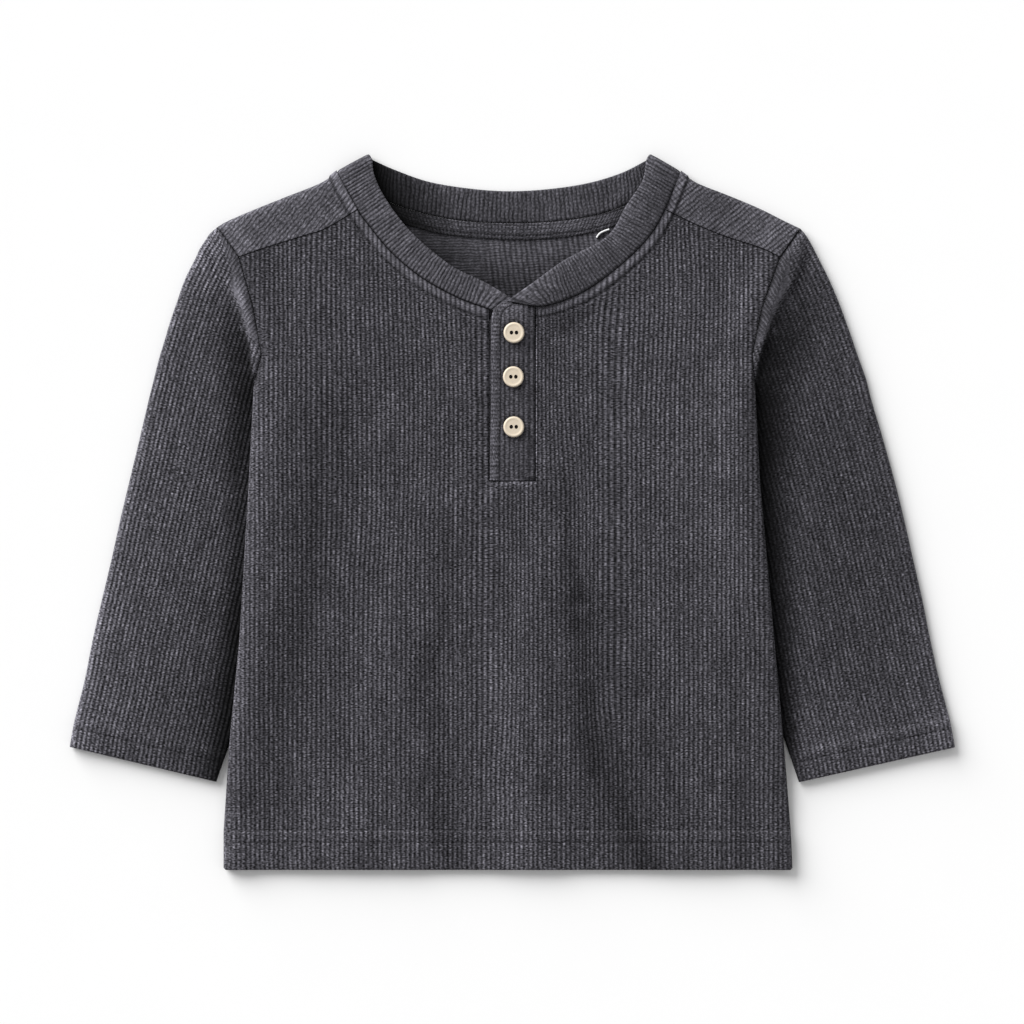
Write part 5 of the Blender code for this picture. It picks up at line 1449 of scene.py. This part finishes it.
def heathered(f, u, v, value, calm=1.0, grain=(0.82, 1.5)):
    """Uneven light and dark: the fleck of the yarn (all of it at calm 1), patches, streaks and broad patches."""
    fleck = f.mottle(u, v, *grain, 0.0, 0.5)
    fleck = f.blend(1.0, f.math("POWER", f.scaled(fleck, FLECK, 1 - FLECK / 2), 1.5), calm)
    patch = f.spread(f.mottle(u, v, 0.36, 0.26, 5.0), 2.8)
    streak = f.spread(f.mottle(u, v, 0.42, 0.05, 9.0, 0.0), 1.9)
    broad = f.spread(f.noise(f.place(), 40.0, 1.0), 1.6)
    return f.times(f.times(value, f.times(fleck, patch)), f.times(streak, broad))


def knit_tone(f, u, v, pitch, bead):
    """Tone and height of rib knit: a light rib over a groove darkened as painted shade, here and there parted into
    beads by notches darkened the same way.
    """
    phase = f.add(f.over(u, pitch), f.scaled(f.mottle(u, v, 0.05, 0.09, detail=2.0), 0.4, -0.2))
    rib_no = f.math("FLOOR", f.add(phase, 0.5))
    own = f.chance(f.vector(rib_no, 3.7))
    width = f.scaled(f.mottle(u, v, 0.5, 0.3, 2.0), 1.4, -0.7)
    face = f.step(f.add(f.wave(phase, 1.0), width), -1.1, 0.7)
    rows = f.add(f.over(v, COURSE), f.times(own, 0.5))
    notch = f.step(f.wave(rows, 1.0), -1.0, 0.4)
    deep = f.times(f.step(f.mottle(u, v, 0.13, 0.07, 4.0), 0.3, 0.65), bead)
    beads = f.minus(1.0, f.times(deep, f.minus(1.0, notch)))
    each = f.chance(f.vector(rib_no, f.math("FLOOR", f.add(rows, 0.5)), 1.3))
    shade = f.scaled(each, 0.6, f.scaled(own, 0.14, 0.63))
    return f.times(f.times(face, beads), shade), f.times(face, f.scaled(beads, 0.6, 0.4))


def stitched(f, tone, along, edge, lines):
    """Rows of stitches at set distances from an edge: dashes that darken the cloth."""
    for at, half, period, depth in lines:
        uneven = f.scaled(f.noise(f.vector(f.times(along, 0.12), at), 1.0, 1.0), 0.5, -0.25)
        dash = f.step(f.wave(f.scaled(uneven, 1.5, along), period), -0.9, 0.4)
        on = f.times(f.line(f.add(edge, uneven), at, half), f.scaled(dash, 0.6, 0.4))
        tone = f.times(tone, f.scaled(on, -depth, 1.0))
    return tone


def ridged(f, tone, ribs, along, edge):
    """The pressed strip beside the neckband: ribs run over it as smooth bumps with a painted highlight on its rounded
    top, beyond them a broken dark row of stitches and painted shadow.
    """
    on = f.step(edge, SEAM_MARK - 4.5, SEAM_MARK - 3.9)
    bump = f.step(f.wave(f.scaled(f.mottle(along, edge, 0.25, 0.3), 1.0, ribs), RIB_PITCH), -0.9, 0.5)
    round_top = f.line(edge, SEAM_MARK - 2.1, 2.3)
    lumps = f.mottle(along, edge, 0.4, 0.3)
    cord = f.times(f.scaled(bump, 0.8, 0.42), f.scaled(round_top, 0.6, 0.65))
    tone = f.blend(tone, f.times(cord, f.scaled(lumps, 0.9, 0.55)), f.times(on, 0.9))
    row = f.times(f.line(edge, SEAM_MARK - 4.9, 1.0), f.scaled(bump, -0.3, 0.95))
    return f.times(tone, f.scaled(row, -0.9, 1.0)), on


def sheared(f, edge, along, relief, tone, height):
    """The sleeve's strip by the armhole seam, high up: slanting strokes in place of ribs, and a calmer fleck."""
    near = f.times(f.step(edge, SEAM_MARK - 5.6, SEAM_MARK - 4.2), f.step(f.place_part(1), 0.078, 0.092))
    slant = f.scaled(edge, -0.75, f.scaled(f.mottle(along, edge, 0.35, 0.3), 2.4, along))
    stroke = f.step(f.wave(slant, 2.2), -0.6, 0.5)
    lively = f.scaled(f.noise(f.vector(slant, f.times(edge, 0.4)), 0.9, 1.0), 0.7, 0.5)
    tone = f.blend(tone, f.times(f.scaled(stroke, 1.1, 0.25), lively), near)
    smoothed = f.times(f.step(edge, SEAM_MARK - 9.5, SEAM_MARK - 7.5), f.step(relief, 0.9, 0.1))
    return tone, f.blend(height, stroke, near), f.scaled(smoothed, -0.6, 1.0)


def knit_finish(name, pitch, lines, strokes=False, ridge=False, fleck=1.0):
    """Charcoal rib knit, with stitch lines at set distances from its edges."""
    f = Finish(name, *NAPPED)
    u, v = f.uv("knit")
    along, edge = f.uv("edge")
    tone, height = knit_tone(f, u, v, pitch, 0.7)
    relief = f.attribute("relief")
    tone = f.blend(0.62, tone, relief)
    height = f.times(height, f.scaled(relief, 0.8, 0.2))
    calm = fleck
    if ridge:
        tone, on = ridged(f, tone, u, along, edge)
        calm = f.scaled(on, -0.5, 1.0)
    if strokes:
        tone, height, calm = sheared(f, edge, along, relief, tone, height)
    tone = stitched(f, tone, along, edge, lines)
    return f.cloth(heathered(f, u, v, f.scaled(tone, CREST - GROOVE, GROOVE), calm), height, 0.00035)


def flap_look(f, u, v, along, edge):
    """Tone, height and calm on the shoulder flaps: courses on the left, ribs on the right, fainter ones across."""
    left = f.step(f.place_part(0), 0.01, -0.01)
    sway = f.scaled(f.mottle(u, v, 0.16, 0.16, 7.0, 2.0), 2.6, -1.3)
    ribs = f.step(f.wave(f.add(u, sway), 2.05), -1.1, 0.6)
    rows = f.step(f.wave(f.add(v, f.times(sway, 1.1)), 2.0), -1.1, 0.6)
    which = f.step(f.mottle(u, v, 0.2, 0.2, 3.0), 0.36, 0.64)
    less_ribs = f.scaled(left, 0.5, f.times(which, 0.25))
    less_rows = f.scaled(left, -0.6, f.scaled(which, -0.2, 0.82))
    hatch = f.times(f.blend(ribs, 1.0, less_ribs), f.blend(rows, 1.0, less_rows))
    tone, on = ridged(f, f.scaled(hatch, 0.8, 0.2), f.scaled(edge, 0.5, along), along, edge)
    return tone, f.times(hatch, 0.8), f.scaled(on, -0.2, 0.6)


def purl_look(f, u, v):
    """Tone and height of the purl side: wavy rows across, and ribs towards the right."""
    rows = f.step(f.wave(f.scaled(f.mottle(u, v, 0.09, 0.2, 1.0, 2.0), 3.0, v), 1.42), -1.0, 0.6)
    drift = f.scaled(v, 0.14, f.add(u, f.times(loose_sway(f, u, v), 0.7)))
    ribs = f.step(f.wave(drift, 2.55), -1.0, 0.8)
    side = f.step(f.scaled(f.mottle(u, v, 0.08, 0.08, 6.0), 16.0, u), -14.0, 4.0)
    across = f.blend(f.scaled(rows, 0.6, 0.36), f.scaled(rows, 0.25, 0.66), side)
    return f.times(across, f.blend(1.0, f.scaled(ribs, 0.8, 0.35), side)), f.times(rows, 0.5)


def back_finish(name):
    """The back's cloth: rib knit outside, a flatter cross-hatched face on the flaps, and the purl side inside.

    The relief tells them apart: 0 inside, a half on the flaps, 1 outside.
    """
    f = Finish(name, *NAPPED)
    u, v = f.uv("knit")
    relief = f.attribute("relief")
    is_purl, is_out = f.step(relief, 0.25, 0.15), f.step(relief, 0.7, 0.8)

    def choose(flap, outside, purl):
        return f.blend(f.blend(flap, outside, is_out), purl, is_purl)

    *on_flap, flap_calm = flap_look(f, u, v, *f.uv("edge"))
    tone, height = map(choose, on_flap, knit_tone(f, u, v, RIB_PITCH, 0.45), purl_look(f, u, v))
    # grooves darkened as painted shade and lighter crests, for the flaps, the outside and the purl side
    groove, crest = choose(0.03, GROOVE, 0.015), choose(0.112, CREST, 0.096)
    value = f.scaled(tone, f.minus(crest, groove), groove)
    return f.cloth(heathered(f, u, v, value, choose(flap_calm, 1.0, 0.45)), height)


def loose_sway(f, u, v):
    """How far stitches stray sideways, in millimetres."""
    return f.scaled(f.mottle(u, v, 0.12, 0.2, 8.0, 2.0), 2.4, -1.2)


def band_finish(name):
    """The neckband's close rib: narrow grooves darkened as painted shade between broad ribs, and a painted highlight
    along the free edge.
    """
    f = Finish(name, *NAPPED)
    u, v = f.uv("knit")
    phase = f.over(f.add(u, f.times(loose_sway(f, u, v), 0.9)), BAND_PITCH)
    rib_no = f.math("FLOOR", f.add(phase, 0.5))
    deep = f.scaled(f.mottle(u, v, 0.2, 0.15, 2.0), 1.0, 0.1)
    face = f.minus(1.0, f.times(deep, f.step(f.wave(phase, 1.0), 0.2, -0.9)))
    rows = f.step(f.wave(f.add(v, f.times(f.chance(f.vector(rib_no, 2.0)), 0.9)), 1.6), -1.0, 0.2)
    each = f.chance(f.vector(rib_no, f.math("FLOOR", f.over(v, 1.4)), 5.0))
    tone = f.times(f.times(face, f.scaled(rows, 0.06, 0.94)), f.scaled(each, 0.14, 0.9))
    tone = f.times(tone, f.scaled(f.step(v, 14.2, 15.6), 0.25, 1.0))
    value = heathered(f, u, v, f.scaled(tone, 0.074, 0.017), 0.5, (1.5, 0.8))
    return f.cloth(value, f.times(face, f.scaled(rows, 0.3, 0.7)))


def tape_finish(name):
    """A knit tape, mottled, with a pale doubled thread between two dark rows along its lower edge: stitches, the
    lower row deepened as the edge's painted shadow.
    """
    f = Finish(name, *NAPPED)
    along, edge = f.uv("knit")
    sway = loose_sway(f, along, edge)
    ticks = f.step(f.wave(f.add(along, f.times(sway, 1.2)), 1.7), -1.1, 0.5)
    rows = f.step(f.wave(f.add(edge, f.times(sway, 0.9)), 1.9), -1.3, 0.4)
    tone = f.times(f.scaled(ticks, 0.45, 0.45), f.scaled(rows, 0.4, 0.65))
    tone = f.times(tone, f.scaled(f.line(edge, 9.3, 0.7), -0.6, 1.0))
    dash = f.step(f.wave(f.add(along, f.times(edge, 1.2)), 1.9), -0.9, 0.5)
    for at, half, depth in ((0.45, 0.65, -0.75), (1.35, 0.4, 0.15), (2.25, 0.7, -0.8)):
        tone = f.times(tone, f.scaled(f.times(f.line(edge, at, half), f.scaled(dash, 0.25, 0.75)), depth, 1.0))
    return f.cloth(heathered(f, along, edge, f.scaled(tone, 0.08, 0.011), 0.7), f.times(ticks, rows))


def resin_finish(name):
    """Cream button resin, a little clouded, lighter on the rim."""
    f = Finish(name, 0.38)
    x, y = f.uv("knit")
    r = f.math("SQRT", f.add(f.times(x, x), f.times(y, y)))
    cloud = f.noise(f.place(), 420.0, 3.0)
    rim = f.times(f.step(r, 3.3, 4.0), f.step(r, 5.0, 4.7))
    f.shader.inputs["Subsurface Weight"].default_value = 0.05
    f.shader.inputs["Subsurface Radius"].default_value = (0.001, 0.0008, 0.0005)
    return f.finish(f.colour(f.add(f.scaled(cloud, 0.22, 0.84), f.times(rim, 0.1)), CREAM), cloud, 0.00004)


def thread_finish(name):
    """Twisted charcoal thread."""
    f = Finish(name, 0.8)
    u, v = f.uv("knit")
    twist = f.wave(f.add(u, f.times(v, 4.0)), 0.9)
    return f.finish(f.colour(f.scaled(twist, 0.008, 0.022), CHARCOAL), twist, 0.0001)


def satin_finish(name):
    """White satin ribbon with a fine weave along it."""
    f = Finish(name, 0.45, 0.1)
    u, v = f.uv("knit")
    weave = f.times(f.wave(u, 0.3), f.wave(v, 0.3))
    return f.finish(f.colour(f.scaled(weave, 0.05, 0.82), (1.0, 1.0, 1.01)), weave, 0.00003)


def paper_floor(name):
    """White paper, hardly mottled."""
    f = Finish(name, 0.9)
    return f.finish(f.colour(f.scaled(f.noise(f.place(), 30.0), 0.01, FLOOR_WHITE), (1.0, 1.0, 1.0)))


# ---------------------------------------------------------------- camera, light, floor

CAMERA_HIGH, SEEN_WIDTH = 3.0, 0.49152
CAMERA_SHIFT = -0.00024             # of the camera's middle across, from the tables' zero
FLOOR_HALF, FLOOR_LOW = 3.0, -0.00005
FLOOR_WHITE = 0.92
KEY_STRENGTH = 4.6
KEY_FROM, KEY_SPREAD = (-0.62, 0.64, 0.39), 50.0
SKY_STRENGTH = 0.49


def put(name, data):
    """A new object in the scene."""
    obj = bpy.data.objects.new(name, data)
    bpy.context.scene.collection.objects.link(obj)
    return obj


def look_down():
    """The camera stands straight above the shirt's middle, far off, and sees 491.5 mm across."""
    camera = bpy.data.cameras.new("camera")
    camera.sensor_width, camera.lens = 36.0, 36.0 * CAMERA_HIGH / SEEN_WIDTH
    camera.clip_start, camera.clip_end = 0.1, 20.0
    camera.dof.use_dof = False
    eye = put("camera", camera)
    eye.location = (CAMERA_SHIFT + MOVE[0] * MM, MOVE[1] * MM, CAMERA_HIGH)
    bpy.context.scene.camera = eye


def light_studio():
    """A broad soft light from the upper left, low enough to shade the hem, in an even white room."""
    scene = bpy.context.scene
    scene.world = bpy.data.worlds.new("studio")
    scene.world.use_nodes = True
    sky = scene.world.node_tree.nodes["Background"]
    sky.inputs["Color"].default_value = (1.0, 1.0, 1.0, 1.0)
    sky.inputs["Strength"].default_value = SKY_STRENGTH
    key = bpy.data.lights.new("key", "SUN")
    key.energy, key.angle = KEY_STRENGTH, np.radians(KEY_SPREAD)
    lamp = put("key", key)
    lamp.rotation_mode = "QUATERNION"
    lamp.rotation_quaternion = Vector(KEY_FROM).to_track_quat("Z", "Y")
    scene.view_settings.view_transform = "Standard"
    scene.view_settings.look = "None"


def lay_floor():
    mesh = bpy.data.meshes.new("floor")
    corners = [(x * FLOOR_HALF, y * FLOOR_HALF, FLOOR_LOW) for x, y in ((-1, -1), (1, -1), (1, 1), (-1, 1))]
    mesh.from_pydata(corners, [], [(0, 1, 2, 3)])
    mesh.materials.append(paper_floor("white table"))
    put("floor", mesh)


def dress():
    """Make each finished piece and put it in place of its node."""
    hem, cuff = ([(HEM_MARK + at, half, pitch, depth) for at in stitches] for stitches, half, pitch, depth in (
        (HEM_STITCH, 0.55, RIB_PITCH, 0.65), (CUFF_STITCH, 0.5, SLEEVE_PITCH, 0.55)))
    body = knit_finish("charcoal rib knit", RIB_PITCH, hem, ridge=True)
    arm = knit_finish("charcoal sleeve knit", SLEEVE_PITCH, cuff, strokes=True)
    front, back = front_panel(body), back_panel(back_finish("charcoal knit of the back"))
    left, right = sleeve("sleeve_left_knit", -1, arm), sleeve("sleeve_right_knit", 1, arm)
    band, tape = neckband(band_finish("charcoal neck rib")), neck_tape(tape_finish("charcoal neck tape"))
    flat = knit_finish("charcoal placket knit", RIB_PITCH, [(1.6, 0.4, 2.4, 0.25)], fleck=0.7)
    upper, under = placket_upper(flat), placket_under(flat)
    label = size_label(satin_finish("white satin"))
    resin, thread = resin_finish("cream resin"), thread_finish("charcoal thread")
    pieces = [
        (front, "front", "rib_knit", (0.273, 0.3), "laid", ["back_knit"], 0.075),
        (back, "back", "rib_knit", (0.28, 0.345), "laid", ["floor"], 0.085),
        (left, "sleeve_left", "rib_knit", (0.19, 0.25), "folded", ["floor"], 0.04),
        (right, "sleeve_right", "rib_knit", (0.19, 0.25), "folded", ["floor"], 0.04),
        (band, "neckband", "neck_rib", (0.372, 0.017), "folded", ["front_knit"], None),
        (tape, "neck_tape", "tape", (0.118, 0.01), "laid", ["back_knit"], None),
        (upper, "placket_upper", "rib_knit", (0.0215, 0.087), "laid", ["placket_under_knit"], None),
        (under, "placket_under", "rib_knit", (0.022, 0.079), "laid", ["back_knit"], None),
    ]
    for piece, node, slot, flat_size, held, rests, area in pieces:
        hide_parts(node)
        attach(piece, "root")
    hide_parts("size_label")
    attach(label, "root")
    for name in BUTTON_SPOTS:
        made, sewn = button(name, resin, thread)
        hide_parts(name)
        for piece in (made, sewn):
            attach(piece, "root")


look_down()
light_studio()
lay_floor()
dress()
